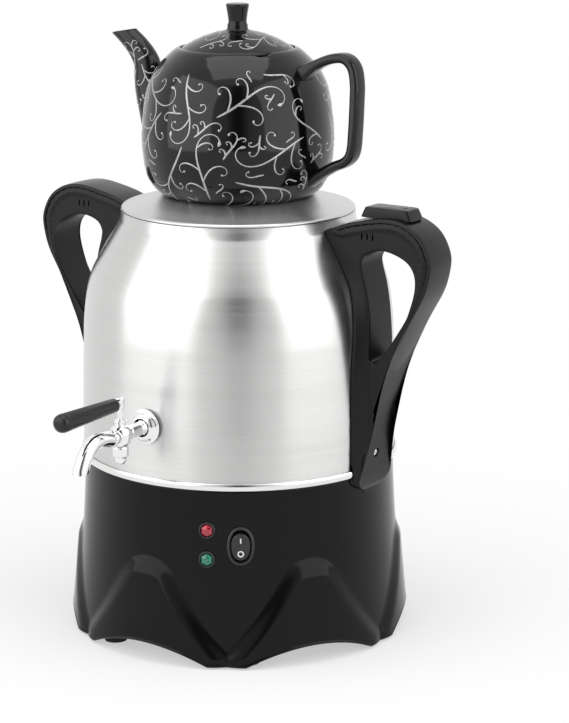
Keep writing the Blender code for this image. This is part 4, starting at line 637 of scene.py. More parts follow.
def make_lens(name, colour):
    """A tinted lens: deep colour and a clear coat, with painted light over its facet cells: a painted highlight
    that makes some cells lighter, and a faint painted glow.
    """
    # Painted glow: the emission strength set here makes the lens glow faintly in its own colour.
    material, tree, shader = new_material(
        name, colour, 0.16, Coat_Weight=0.8, Coat_Roughness=0.05, Emission_Strength=0.05,
    )
    vector = object_vector(tree)
    facets_and_painted_sparkle = add_node(tree, "ShaderNodeTexVoronoi", Vector=vector, Scale=520.0).outputs["Distance"]
    # Painted light: the colour runs lighter and darker over the facet cells, as facets catching light and shade
    # would look.
    shade_colour(tree, shader, colour, facets_and_painted_sparkle, 0.7)
    # Painted glow: the emission colour follows the facet cells, so the lighter cells glow more.
    glow = add_node(tree, "ShaderNodeVectorMath", {"operation": "SCALE"}, Scale=facets_and_painted_sparkle,
                    **{"0": tuple(colour)}).outputs[0]
    tree.links.new(glow, shader.inputs["Emission Color"])
    add_bump(tree, shader, facets_and_painted_sparkle, 0.25, 0.0004)
    return material


def make_rubbery(name, colour, roughness=0.75):
    material, tree, shader = new_material(name, colour, roughness, Specular_IOR_Level=0.35)
    vector = object_vector(tree)
    handled = placed_group(tree, "Handling Marks", Vector=vector, Size=60.0, Amount=0.25)
    vary_roughness(tree, shader, roughness, handled.outputs["Mask"])
    shade_colour(tree, shader, colour, maths(tree, "ADD", handled.outputs["Mask"], 0.5), 0.8)
    add_bump(tree, shader, noise(tree, vector, 900.0, 2.0), 0.3, 0.0002)
    return material


FINISHES = {}


def make_finishes():
    make_brushed_group()
    make_handling_group()
    make_moulded_group()
    tone = colours()
    FINISHES.update(
        steel=make_steel("Brushed steel", tone.steel, 0.31, across=0.75),
        lid_steel=make_steel("Lid steel", tone.steel, 0.36, round_axis=True, across=0.6),
        inner_steel=make_steel("Heater sheath", (0.3, 0.29, 0.27), 0.4, marks=0.3),
        trim=make_polished("Trim ring", (0.8, 0.8, 0.79), 0.16, 0.08),
        chrome=make_polished("Chrome plate", tone.chrome, 0.05, 0.04, 0.02),
        brass=make_polished("Brass", (0.55, 0.4, 0.18), 0.28, 0.2),
        base=make_plastic("Glossy base", tone.base, 0.14, 1900.0, 0.03, 0.05, 0.17),
        handle=make_plastic("Satin handle", tone.handle, 0.34, 1500.0, 0.16, 0.1, 0.22),
        cover=make_plastic("Handle cover", tone.handle, 0.28, 1500.0, 0.12, 0.1, 0.25),
        switch=make_plastic("Switch black", (0.02, 0.02, 0.021), 0.32, 2300.0, 0.1, 0.06, 0.4),
        grip=make_plastic("Tap grip", (0.009, 0.009, 0.009), 0.3, 1700.0, 0.1, 0.08, 0.35),
        inlet=make_plastic("Inlet plastic", (0.02, 0.02, 0.021), 0.45, 1500.0, 0.2, 0.1),
        mark=make_plastic("White marks", (0.75, 0.75, 0.73), 0.5, 2500.0, 0.1, 0.1),
        red=make_lens("Red lens", tone.red),
        green=make_lens("Green lens", tone.green),
        rubber=make_rubbery("Foot rubber", (0.02, 0.02, 0.02)),
        seal=make_rubbery("Clear seal", (0.62, 0.62, 0.6), 0.5),
        block=make_rubbery("Terminal ceramic", (0.6, 0.58, 0.54), 0.6),
        glaze=make_glaze(),
        scroll=make_scroll_silver(),
    )


# Base


BELLS = 6
BELL_TOP = 0.0755
BELL_EDGE = math.radians(8.5)
ARCH_RISE = 0.012
ARCH_HALF = math.radians(23.5)
RIM_LIFT = 0.0012
HOUSING_WALL = 0.003
CONTROL_TURN = math.radians(34.8)
LAMP_TURN = math.radians(23.0)


def plain_housing_radius(height):
    """r = top radius + spread * (1 - z / H)^1.5."""
    size = sizes()
    return size.housing_radius + size.housing_spread * (1 - np.clip(height / HOUSING_HIGH.z, 0, 1)) ** 1.5


def wall_tilt(height):
    step = 0.003
    change = plain_housing_radius(height - step) - plain_housing_radius(height + step)
    return math.atan2(float(change), 2 * step)


def housing_grid():
    """Columns follow the bells: off = b s on the bell and b + (h - b) s outside it, with b the bell's half
    angle at that height. The raised bell adds depth * S((b - off) / edge + 1/2) * S(5 fall)."""
    size = sizes()
    half = TURN / BELLS / 2
    side = np.linspace(-1, 1, 27)
    spread = 0.5 + 0.5 * np.sign(side) * np.abs(side) ** 1.5
    spread = spread[:-1]
    share = np.concatenate([spread, 2 - np.concatenate([[1.0], spread[:0:-1]])])
    share = np.where(share > 1, share - 2, share)
    sector = np.repeat(np.arange(BELLS), len(share)) * 2 * half
    share = np.tile(share, BELLS)
    order = np.argsort((sector + share * half) % TURN)
    sector, share = sector[order], share[order]

    def place(level, inset):
        """Turn, radius and height of every column at a level, from 0 at the lower edge to 1 at the top."""
        height = np.broadcast_to(level * HOUSING_HIGH.z, share.shape)
        for _ in range(4):
            fall = np.clip(1 - height / BELL_TOP, 0, 1)
            bell = half * np.clip(0.593 * np.sqrt(fall) + 0.483 * fall**2.2, 0.0, 0.95)
            shown = np.maximum(bell, half * 0.12)
            off = np.where(np.abs(share) < 0.5, 2 * np.abs(share) * shown,
                           shown + (half - shown) * (2 * np.abs(share) - 1))
            low = RIM_LIFT + ARCH_RISE * np.clip(1 - (off / ARCH_HALF) ** 2, 0, 1)
            height = low + (HOUSING_HIGH.z - low) * level
        fall = np.clip(1 - height / BELL_TOP, 0, 1)
        raised = smooth_step((bell - off) / BELL_EDGE + 0.5) * smooth_step(fall * 5)
        radius = plain_housing_radius(height) + size.bell_depth * raised - inset
        return sector + np.sign(share) * off, radius, height

    rows = []

    def add_row(level, inset=0.0, lift=0.0):
        turns, radius, height = place(level, inset)
        rows.append(np.column_stack([radius * np.sin(turns), -radius * np.cos(turns), height + lift]))

    rim = HOUSING_WALL / 2
    for angle in np.linspace(math.pi, 0, 9):
        add_row(0.0, rim - rim * math.cos(angle), rim - rim * math.sin(angle))
    low = 1.4 * rim / HOUSING_HIGH.z
    for level in np.concatenate([np.linspace(low, 0.64, 58), np.linspace(0.66, 0.985, 20)]):
        add_row(level)
    top = 0.0011
    for angle in np.linspace(0.2, math.pi / 2, 5):
        add_row(1.0, top - top * math.cos(angle), -top + top * math.sin(angle))
    turns = place(1.0, 0)[0]
    inner = size.housing_radius - 0.0085
    for radius, height in ((inner, HOUSING_HIGH.z), (inner, HOUSING_HIGH.z - 0.003),
                           (size.housing_radius - 0.0032, HOUSING_HIGH.z - 0.003)):
        rows.append(np.column_stack([radius * np.sin(turns), -radius * np.cos(turns), 0 * turns + height]))
    for level in (0.9, 0.6, 0.4, 0.2, 0.06):
        add_row(level, HOUSING_WALL)
    return on_axis(np.stack(rows))


def control_place(turn, lift_share, sink):
    lift = HOUSING_HIGH.z * lift_share
    radius = float(plain_housing_radius(lift)) - sink
    return facing_out(turn, radius, lift, wall_tilt(lift))


SWITCH_LIFT = 0.69
LAMP_LIFTS = {"red": 0.775, "green": 0.612}
SWITCH_HALF = (0.00965, 0.0137)
WELL_HALF = (0.0071, 0.0112)
INLET_LIFT = 0.78


def stepped_cutter(place, stages, count, shape):
    """A closed stepped plug: shape(share) gives the outline, stages are (outline scale or size, height)."""
    rows = [np.column_stack([shape(scale), np.full(count, height)]) for scale, height in stages]
    return placed(closed_ends(np.stack(rows)), place)


def build_housing():
    finish = FINISHES
    housing = add_piece("base_shell", housing_grid(), finish["base"], "samovar_body", ["housing"],
                        "gloss_black",
                        wrap_rows=True, sharp=50)
    lift = HOUSING_HIGH.z * INLET_LIFT
    wall = float(plain_housing_radius(lift)) + 0.001
    place = facing_out(math.pi, wall, lift)
    pad = placed(box_grid((-0.018, -0.014, -0.004), (0.018, 0.014, 0)), place)
    carved(housing, pad, "UNION")
    cutters = [placed(box_grid((-0.0143, -0.0103, -0.012), (0.0143, 0.0103, 0.004)), place)]
    oval_count = 48
    switch = control_place(CONTROL_TURN, SWITCH_LIFT, 0.001)

    def switch_outline(grow):
        return oval(SWITCH_HALF[0] + grow, SWITCH_HALF[1] + grow, oval_count, 2.25)

    cutters.append(stepped_cutter(
        switch, ((-0.0022, -0.008), (-0.0022, 0), (0.0003, 0), (0.0003, 0.004)), oval_count, switch_outline,
    ))
    for share in LAMP_LIFTS.values():
        lamp = control_place(LAMP_TURN, share, 0.001)
        cutters.append(stepped_cutter(
            lamp, ((0.0052, -0.008), (0.0052, 0), (0.0063, 0), (0.0063, 0.004)), 40,
            lambda radius: oval(radius, radius, 40),
        ))
    for cutter in cutters:
        carved(housing, cutter)
    for name, key in (
        ("bottom_cover", "inlet"), ("mains_inlet", "inlet"), ("terminal_block", "block"),
        ("thermostat", "inlet"), ("dry_boil_cutout", "inlet"), ("element_nut_left", "brass"),
        ("element_nut_right", "brass"), ("heating_element", "inner_steel"), ("tap_lock_nut", "brass"),
        ("tap_washer", "seal"), ("handle_nut_left", "trim"), ("handle_nut_right", "trim"),
    ):
        paint_node(name, finish[key])
    for number in range(1, 7):
        paint_node(f"foot_{number}", finish["rubber"])
    for number in range(1, 4):
        paint_node(f"cover_screw_{number}", finish["trim"])


# Tank and lid


TANK_SHARES = (
    (1.0, 0.0), (1.0, 0.1), (1.0, 0.2), (0.9955, 0.325), (0.9892, 0.49), (0.9838, 0.568), (0.9676, 0.659),
    (0.9415, 0.731), (0.912, 0.776), (0.8408, 0.858), (0.7455, 0.959), (0.741, 1.0),
)


def tank_line(count=90):
    """The tank's outside as (radius, height), smooth through its measured points."""
    size = sizes()
    shares = np.array(TANK_SHARES)
    points = np.column_stack([
        shares[:, 0] * size.tank_radius, TANK_LOW.z + shares[:, 1] * (TANK_HIGH.z - TANK_LOW.z),
    ])
    line = curve_through(points[:-1], count)
    return np.vstack([line, points[-1:]])


def tank_radius_at(height):
    line = tank_line()
    return np.interp(height, line[:, 1], line[:, 0])


def build_tank():
    size, finish = sizes(), FINISHES
    outside = tank_line()
    tangent = np.gradient(outside, axis=0)
    tangent /= np.linalg.norm(tangent, axis=1)[:, None]
    inside = outside + size.wall * np.column_stack([-tangent[:, 1], tangent[:, 0]])
    inside[-1] = (outside[-1, 0] - size.wall, outside[-1, 1])
    floor = TANK_LOW.z + 0.0205
    inside = inside[inside[:, 1] > floor + 0.006][::-1]
    inner = size.tank_radius - size.wall
    upper = [*outside, *inside]
    bottom = eased([(inner, floor + 0.005), (inner - 0.001, floor + size.wall), (0, floor + size.wall)],
                   0.003)
    lower = [(0, floor), (inner - 0.003, floor), (inner, floor - 0.0002), (inner, TANK_LOW.z)]
    profile = [(inner, TANK_LOW.z), *upper, *bottom, *lower]
    grid = turned(profile, size.round_steps)
    add_piece("tank_shell", on_axis(grid), finish["steel"], "samovar_body", ["tank"], "steel", sharp=35)

    radius, low = size.tank_radius, TANK_LOW.z
    ring = eased([
        (radius + 0.00025, low), (radius + 0.0013, low), (radius + 0.0018, low + 0.0012),
        (radius + 0.0018, low + 0.0036), (radius + 0.0012, low + 0.005), (radius + 0.00025, low + 0.005),
    ], 0.0008, 4, closed=True)
    add_piece("trim_bead", on_axis(turned(ring, size.round_steps)), finish["trim"], "samovar_body",
              ["trim_ring"], "chrome", wrap_rows=True)

    edge, low, top = LID_HIGH.x, TANK_HIGH.z + 0.0003, LID_HIGH.z
    seat, skirt, sheet = 0.05, edge - 0.0036, 0.0016
    profile = eased([
        (0, top - 0.0012), (seat - 0.001, top - 0.0012), (seat + 0.0004, top), (seat + 0.003, top - 0.0001),
        (edge - 0.006, low + 0.0031), (edge - 0.0012, low + 0.0021), (edge, low + 0.001),
        (edge - 0.0003, low),
        (skirt, low), (skirt, low - 0.007), (skirt - sheet, low - 0.007), (skirt - sheet, low + 0.0005),
        (seat + 0.003, top - 0.0001 - sheet), (seat, top - 0.0012 - sheet), (0, top - 0.0012 - sheet),
    ], [0, 0.001, 0.001, 0.02, 0.006, 0.001, 0.0006, 0.0003, 0.0002, 0.0002, 0.0002, 0.0002, 0.01, 0.001, 0],
    5)
    add_piece("tank_lid", on_axis(turned(profile, size.round_steps)), finish["lid_steel"], "tank_lid",
              ["lid"],
              "steel", sharp=40)
    paint_node("lid_seal", finish["seal"])


# Handles


HANDLE_REACH = 0.1643
HANDLE_TOP = TANK_HIGH.z + 0.0067
HANDLE_FOOT = TANK_LOW.z - 0.0124
OUTLINE_SHARES = (
    (-0.66, 0.925), (-0.42, 0.952), (-0.24, 0.971), (0.0, 0.987), (0.3, 1.0), (0.545, 0.996),
    (0.75, 0.972), (0.9, 0.934), (1.0, 0.874), (1.0, 0.82), (0.92, 0.742), (0.73, 0.647),
    (0.533, 0.544), (0.367, 0.447), (0.26, 0.363), (0.17, 0.286), (0.11, 0.206), (0.072, 0.113),
    (0.055, 0.05), (0.02, 0.012), (-0.06, 0.0), (-0.14, 0.01), (-0.15, 0.25), (-0.16, 0.5),
    (-0.24, 0.68), (-0.44, 0.81), (-0.64, 0.9),
)
HOLE_SHARES = (
    (0.07, 0.868), (0.28, 0.885), (0.487, 0.876), (0.69, 0.85), (0.795, 0.805), (0.787, 0.746),
    (0.69, 0.67), (0.505, 0.587), (0.34, 0.52), (0.21, 0.487), (0.135, 0.495), (0.13, 0.563),
    (0.11, 0.66), (0.06, 0.742), (-0.005, 0.805), (-0.012, 0.838),
)
STRIP_DEPTH = 0.0028
STRIP_SPAN = (0.045, 0.765)
UPPER_SCREW = 0.74
LOWER_SCREW = 0.897


def handle_points(shares):
    """Shares of the way from the tank's side to the reach, and of the height, as (distance, height)."""
    shares = np.array(shares)
    radius = sizes().tank_radius
    return np.column_stack([
        radius + shares[:, 0] * (HANDLE_REACH - radius),
        HANDLE_FOOT + shares[:, 1] * (HANDLE_TOP - HANDLE_FOOT),
    ])


def handle_half_width(out, height):
    """w = w0 + flare S(down) (1 - d / reach): it flares where it lies on the tank, d being the distance to it."""
    middle = (HANDLE_TOP + HANDLE_FOOT) / 2
    flare = 0.0085 * smooth_step((HANDLE_TOP - height) / (HANDLE_TOP - middle) - 0.3)
    near = np.clip(1 - (out - tank_radius_at(height)) / 0.009, 0, 1)
    end = np.clip((HANDLE_FOOT + 0.012 - height) / 0.012, 0, 0.92)
    return (sizes().handle_width + flare * near) * np.sqrt(1 - end**2)


def off_tank(grid, side, gap=0.0004):
    """Points that would lie in the tank, its trim or the base move outwards along X to just clear of them."""
    size = sizes()
    y, z = grid[..., 1], grid[..., 2]
    round_radius = np.where(
        z < TANK_LOW.z - 0.0002, plain_housing_radius(z),
        np.where(z < TANK_LOW.z + 0.0052, size.tank_radius + 0.0019, tank_radius_at(z)),
    ) + gap
    least = np.sqrt(np.maximum(round_radius**2 - y**2, 0))
    moved = grid.copy()
    moved[..., 0] = side * np.maximum(side * grid[..., 0], least)
    return moved


def strip_way(count):
    return curve_through(handle_points(OUTLINE_SHARES[:21]), count)


def strip_half_width(share):
    return sizes().handle_width * (1 - 0.09 * smooth_step((share - 0.4) / 0.6))


def handle_grid(side):
    """A loop of sections between the hole's edge and the outer edge. Each section runs over the outer face, a
    rounded rim, the side, a rounded edge at the hole, the hole's wall, and back along the other side."""
    size = sizes()
    samples = 300
    hole = curve_through(handle_points(HOLE_SHARES), samples, closed=True)
    outer_fine = curve_through(handle_points(OUTLINE_SHARES), 12 * samples, closed=True)
    centre = handle_points(HOLE_SHARES).mean(axis=0)
    start = int(np.argmin(np.linalg.norm(outer_fine - (hole[0] + (hole[0] - centre) * 0.2), axis=1)))
    place = (start + np.round(np.arange(samples) / samples * len(outer_fine)).astype(int)) % len(outer_fine)
    outer = outer_fine[place]
    way = strip_way(400)
    span = way[int(STRIP_SPAN[0] * 400):int(STRIP_SPAN[1] * 400)]
    from_strip = np.min(np.linalg.norm(outer[:, None] - span[None], axis=2), axis=1)
    covered = smooth_step(1 - from_strip / 0.0012)
    ahead = hole - outer
    length = np.linalg.norm(ahead, axis=1)
    ahead /= length[:, None]
    drop = covered * (STRIP_DEPTH + 0.0004)
    edge = size.handle_edge
    t = np.linspace(0, math.pi / 2, 6)
    # (distance from the outer edge, distance in from the side face, counts as a share of the free width)
    corner = np.column_stack([edge * (1 - np.sin(t)), edge * (1 - np.cos(t))])[::-1]
    grids = []
    rim = np.array([0.0006, 0.0014, 0.0022, 0.003, 0.0038, 0.0046])
    rim_rise = 0.0005 * np.sin(np.pi * np.clip(rim / 0.0046, 0, 1))
    steps = np.linspace(0, 1, 14)[1:-1]
    front = []
    for across in np.linspace(0, 0.9, 5):
        front.append(("face", 0.0, across))
    for off, back in corner:
        front.append(("edge", off, back))
    for off, rise in zip(rim, rim_rise):
        front.append(("rim", off, rise))
    for step in steps:
        front.append(("side", step, 0.0))
    for off, back in corner[::-1]:
        front.append(("hole_edge", off, back))
    for across in np.linspace(0.9, 0, 5):
        front.append(("hole", 0.0, across))
    rows = []
    for kind, first, second in front:
        if kind == "face":
            off = drop
        elif kind == "edge":
            off = drop + first
        elif kind == "rim":
            off = drop + edge + first
        elif kind == "side":
            low, high = drop + edge + 0.0052, length - edge - 0.0004
            high = np.maximum(high, low)
            off = low + (high - low) * first
        elif kind == "hole_edge":
            off = length - first
        else:
            off = length
        point = outer + ahead * off[:, None]
        half = handle_half_width(point[:, 0], point[:, 1])
        if kind in ("face", "hole"):
            w = (half - edge) * second
        elif kind in ("edge", "hole_edge"):
            w = half - second
        elif kind == "rim":
            w = half + second * covered
        else:
            w = half
        rows.append(np.column_stack([side * point[:, 0], w, point[:, 1]]))
    rows = np.stack(rows)
    other = rows[::-1].copy()
    other[..., 1] *= -1
    both = np.concatenate([rows[:-1], other[:-1]])
    grids = np.transpose(both, (1, 0, 2))
    return on_axis(off_tank(grids, side))


def strip_grid(side):
    """The cover: a crowned section with rounded edges, carried along the outer edge, with a rounded end."""
    samples = 220
    whole = strip_way(400)
    way = curve_through(whole[int(STRIP_SPAN[0] * 400):int(STRIP_SPAN[1] * 400)], samples)
    left = np.linalg.norm(np.diff(way, axis=0), axis=1)[::-1].cumsum()[::-1]
    left = np.append(left, 0)
    share = 1 - left / left[0]
    half = strip_half_width(share)
    end = np.clip(1 - left / 0.005, 0, 0.97)
    half = half - 0.006 * (1 - np.sqrt(1 - end**2))
    path = np.column_stack([way[:, 0], 0 * share, way[:, 1]])
    edge = 0.0009
    t = np.linspace(0, math.pi / 2, 5)
    top = []
    for fraction in np.linspace(0, 1, 8):
        top.append((fraction, 0.0, -0.0004 * fraction**2))
    for angle in t[1:]:
        top.append((1.0, edge * (math.sin(angle) - 1) + edge, -0.0004 - edge * (1 - math.cos(angle))))
    section = []
    for fraction, grow, depth in top:
        width = (half - edge) * fraction + grow
        section.append(np.column_stack([width, np.full(samples, depth)]))
    section.append(np.column_stack([half, np.full(samples, -STRIP_DEPTH)]))
    right = np.stack(section, axis=1)
    mirrored = right[:, ::-1].copy()
    mirrored[..., 0] *= -1
    section = np.concatenate([right, mirrored[:, :-1]], axis=1)
    grid = swept(path, section, across=(0, -1, 0))
    grid[..., 0] *= side
    return on_axis(closed_ends(off_tank(grid, side)))


def edge_frame(share, side):
    """A frame on the handle's outer edge: Z points out of the plastic."""
    way = strip_way(400)
    index = int(round(share * 399))
    ahead = way[index + 1] - way[index - 1]
    ahead /= np.linalg.norm(ahead)
    out = Vector((-side * ahead[1], 0, ahead[0]))
    place = Vector((side * way[index][0], AXIS_Y, way[index][1]))
    return Matrix.Translation(place) @ out.to_track_quat("Z", "Y").to_matrix().to_4x4()


def build_handles():
    finish = FINISHES
    for side, name in ((1, "right"), (-1, "left")):
        body = add_piece(f"{name}_handle", handle_grid(side), finish["handle"], "samovar_body",
                         [f"handle_{name}"], "soft_black", wrap_rows=True, sharp=38)
        cutters = []
        out, height = handle_points([(0.08 if side > 0 else 0.27, 0.93)])[0]
        for number in range(3):
            x = side * (out + (number - 1) * 0.0043)
            for face in (-1, 1):
                slot = oval(0.00065, 0.0024, 16, 2.6)
                rows = [np.column_stack([x + slot[:, 0], np.full(16, AXIS_Y + y), height + slot[:, 1]])
                        for y in (face * 0.012, face * 0.018)]
                cutters.append(closed_ends(np.stack(rows)))
        lower = edge_frame(LOWER_SCREW, side)
        well = stepped_cutter(lower, ((0.0031, -0.0026), (0.0034, 0.004)), 28, lambda r: oval(r, r, 28))
        carved(body, list(cutters))
        carved(body, well)
        strip = add_piece(f"{name}_handle_cover", strip_grid(side), finish["cover"], "samovar_body",
                          [f"handle_cover_{name}"], "soft_black", sharp=38)
        upper = edge_frame(UPPER_SCREW, side)
        well = stepped_cutter(upper, ((0.0031, -0.0024), (0.0034, 0.004)), 28, lambda r: oval(r, r, 28))
        carved(strip, well)
        for frame_at, label in ((upper, "upper"), (lower, "lower")):
            screw_head(f"{label}_screw_{name}", frame_at, [f"{label}_handle_screw_{name}"],
                       0.009 if label == "upper" else 0.013)
        if side > 0:
            carve_slider_bed(strip, body)


def screw_head(name, place, replaced, length):
    """A pan-head screw: a domed head, a plain shank, and a cross cut into the head."""
    profile = eased([(0, -length), (0.0015, -length), (0.0015, -0.0024), (0.0028, -0.0024), (0.0028, -0.0012),
                     (0.0016, -0.0006), (0, -0.0005)], [0, 0.0004, 0, 0.0002, 0.0006, 0.0006, 0])
    screw = add_piece(name, placed(turned(profile, 28), place), FINISHES["chrome"], "samovar_body", replaced,
                      "chrome", sharp=40)
    slots = [placed(box_grid((-a, -b, -0.0016), (a, b, 0.001)), place)
             for a, b in ((0.0015, 0.0003), (0.0003, 0.0015))]
    for slot in slots:
        carved(screw, slot)


SLIDER_TRAVEL = 0.005


def carve_slider_bed(strip, body):
    bed = HANDLE_TOP - 0.0018
    x0, x1 = SLIDER_LOW.x, SLIDER_HIGH.x
    middle, half = (x0 + x1) / 2, (SLIDER_HIGH.y - SLIDER_LOW.y) / 2
    travel = SLIDER_TRAVEL + 0.0004
    bed_cut = box_grid((x0 - 0.0044, AXIS_Y - half - 0.0004, bed),
                       (x1 + travel + 0.001, AXIS_Y + half + 0.0004, bed + 0.006))
    slot = box_grid((middle - 0.0084, AXIS_Y - 0.0029, bed - 0.01),
                    (middle + 0.0084 + travel, AXIS_Y + 0.0029, bed + 0.004))
    chamber = box_grid((middle - 0.0084, AXIS_Y - 0.0054, bed - 0.0063),
                       (middle + 0.0084 + travel, AXIS_Y + 0.0054, bed + 0.004))
    carved(strip, bed_cut)
    carved(strip, slot)
    carved(body, chamber)


def build_slider():
    """The catch: a block with sloped ends and eased edges, a stem and a foot under the cover."""
    bed = HANDLE_TOP - 0.0018
    x0, x1 = SLIDER_LOW.x, SLIDER_HIGH.x
    low, high = bed + 0.0004, SLIDER_HIGH.z
    half = (SLIDER_HIGH.y - SLIDER_LOW.y) / 2
    middle = (x0 + x1) / 2
    rows = []
    levels = ((0.0, 0.0, 0.0), (0.0, 0.0, 0.0), (0.5, 0.45, 0.1), (0.86, 0.84, 0.4), (0.95, 0.95, 0.7),
              (1.0, 1.12, 1.3), (1.0, 1.3, 2.2))
    for index, (up, inward, pinch) in enumerate(levels):
        a = (x1 - x0) / 2 - 0.0036 * inward
        b = half - 0.0005 * pinch
        ring = oval(a, b, 72, 9)
        height = low + (high - low) * up - (0.0002 if index == 5 else 0)
        rows.append(np.column_stack([middle + ring[:, 0], AXIS_Y + ring[:, 1], np.full(72, height)]))
    rows = np.stack(rows[1:])
    block = add_piece("lid_catch", closed_ends(rows), FINISHES["cover"], "lock_slider", ["lid_lock_slider"],
                      "soft_black", sharp=30)
    stem = box_grid((middle - 0.008, AXIS_Y - 0.0025, bed - 0.0052),
                    (middle + 0.008, AXIS_Y + 0.0025, bed + 0.003))
    foot = box_grid((middle - 0.008, AXIS_Y - 0.005, bed - 0.0052),
                    (middle + 0.008, AXIS_Y + 0.005, bed - 0.0032))
    carved(block, stem, "UNION")
    carved(block, foot, "UNION")
    dent = oval(0.0032, 0.0014, 32)
    rows = [np.column_stack([x1 - 0.0095 + dent[:, 0] * s, AXIS_Y + dent[:, 1] * s, np.full(32, z)])
            for s, z in ((0.55, high - 0.0006), (1.0, high + 0.0004), (1.0, high + 0.002))]
    carved(block, closed_ends(np.stack(rows)))


# Switch and lamps


def ringed(place, outlines):
    """A ring piece: closed outlines of equal count, each with its own height, joined in order and closed."""
    rows = [np.column_stack([outline, np.full(len(outline), height)]) for outline, height in outlines]
    return placed(np.stack(rows), place)


def build_controls():
    finish = FINISHES
    place = control_place(CONTROL_TURN, SWITCH_LIFT, 0.001)
    count, power = 96, 2.25
    a, b = SWITCH_HALF
    wa, wb = WELL_HALF

    def ring(grow, height):
        return oval(a + grow, b + grow, count, power), height

    def well(grow, height):
        return oval(wa + grow, wb + grow, count, power), height

    outlines = [
        ring(-0.0026, -0.0175), ring(-0.0026, 0.0003), ring(0, 0.0003), ring(0, 0.0011),
        ring(-0.0002, 0.0018),
        ring(-0.0007, 0.0024), ring(-0.0014, 0.0027), ring(-0.002, 0.0027), well(0.0005, 0.0024),
        well(0.0001, 0.0019), well(0, 0.0012), well(0, -0.011), (oval(0.0001, 0.0001, count), -0.011),
        (oval(0.0001, 0.0001, count), -0.0175),
    ]
    rows = ringed(place, outlines)
    add_piece("switch_bezel", rows, finish["switch"], "samovar_body", ["switch_frame"], "gloss_black",
              wrap_rows=True, sharp=45)

    pivot = place @ Matrix.Translation((0, 0, 0.0029 - 0.003)) @ Matrix.Rotation(math.radians(8.0), 4, "X")
    ra, rb = wa - 0.0004, wb - 0.0016
    face = 0.0029 + 0.0011
    rows = []
    for grow, height in ((-0.0003, -0.0036), (0.0, -0.003), (0.0, face - 0.0013), (-0.0002, face - 0.0007),
                         (-0.0008, face - 0.0002)):
        outline = oval(ra + grow, rb + grow, count, power)
        dip = 0.001 * (1 - (outline[:, 1] / rb) ** 2) if height > 0 else 0
        rows.append(np.column_stack([outline, height - dip + 0 * outline[:, 0]]))
    for scale in (0.75, 0.5, 0.25, 0.02):
        outline = oval((ra - 0.0008) * scale, (rb - 0.0008) * scale, count, power)
        rows.append(np.column_stack([outline, face - 0.0002 - 0.001 * (1 - (outline[:, 1] / rb) ** 2)]))
    add_piece("rocker", placed(closed_ends(np.stack(rows)), pivot), finish["switch"], "rocker",
              ["switch_rocker"],
              "gloss_black", sharp=45)

    def on_face(points):
        """Lays flat marks on the rocker's dished face."""
        height = face - 0.0002 - 0.001 * (1 - (points[..., 1] / rb) ** 2)
        return np.concatenate([points, height[..., None]], axis=-1)

    bar = oval(0.00045, 0.0019, 24, 5)
    bar[:, 1] += 0.0048
    rows = np.stack([on_face(bar) + (0, 0, lift) for lift in (-0.0002, 0.00008)])
    add_piece("mark_on", placed(closed_ends(rows), pivot), finish["mark"], "rocker", slot="gloss_black")
    ring_rows = []
    for radius, lift in ((0.0022, -0.0002), (0.0022, 0.00008), (0.0014, 0.00008), (0.0014, -0.0002)):
        circle = oval(radius, radius, 40)
        circle[:, 1] -= 0.0048
        ring_rows.append(on_face(circle) + (0, 0, lift))
    add_piece("mark_off", placed(np.stack(ring_rows), pivot), finish["mark"], "rocker", wrap_rows=True,
              slot="gloss_black")

    for colour, share in LAMP_LIFTS.items():
        lamp = control_place(LAMP_TURN, share, 0.001)
        profile = eased([
            (0.0037, -0.012), (0.0049, -0.012), (0.0049, 0.0003), (0.006, 0.0003), (0.006, 0.0017),
            (0.0053, 0.0027), (0.0047, 0.0027), (0.0043, 0.0012), (0.0037, 0.0008),
        ], [0, 0, 0, 0.0001, 0.0006, 0.0004, 0.0004, 0.0004, 0], closed=True)
        add_piece(f"{colour}_bezel", placed(turned(profile, 64), lamp), finish["switch"], "samovar_body",
                  [f"{colour}_lamp_bezel"], "gloss_black", wrap_rows=True)
        steps = np.linspace(0, math.pi / 2, 14)
        profile = [(0, -0.012), (0.0034, -0.012), (0.0034, 0.0009), (0.0041, 0.0013)]
        profile += [(0.0041 * math.cos(s), 0.0015 + 0.0018 * math.sin(s)) for s in steps]
        grid = turned(profile, 64)
        hexed = 1 + 0.05 * np.cos(6 * np.arange(64) * TURN / 64)[None, :, None] * np.where(
            (grid[..., 2:] > 0.0018) & (grid[..., 2:] < 0.0032), 1, 0)
        grid[..., :2] *= hexed
        add_piece(f"{colour}_lens", placed(grid, lamp), finish[colour], "samovar_body",
                  [f"{colour}_lamp_lens"], f"{colour}_lens")


# Tap


TAP_Y = AXIS_Y - TANK_HIGH.x - 0.0293
TAP_Z = TANK_LOW.z + 0.0408


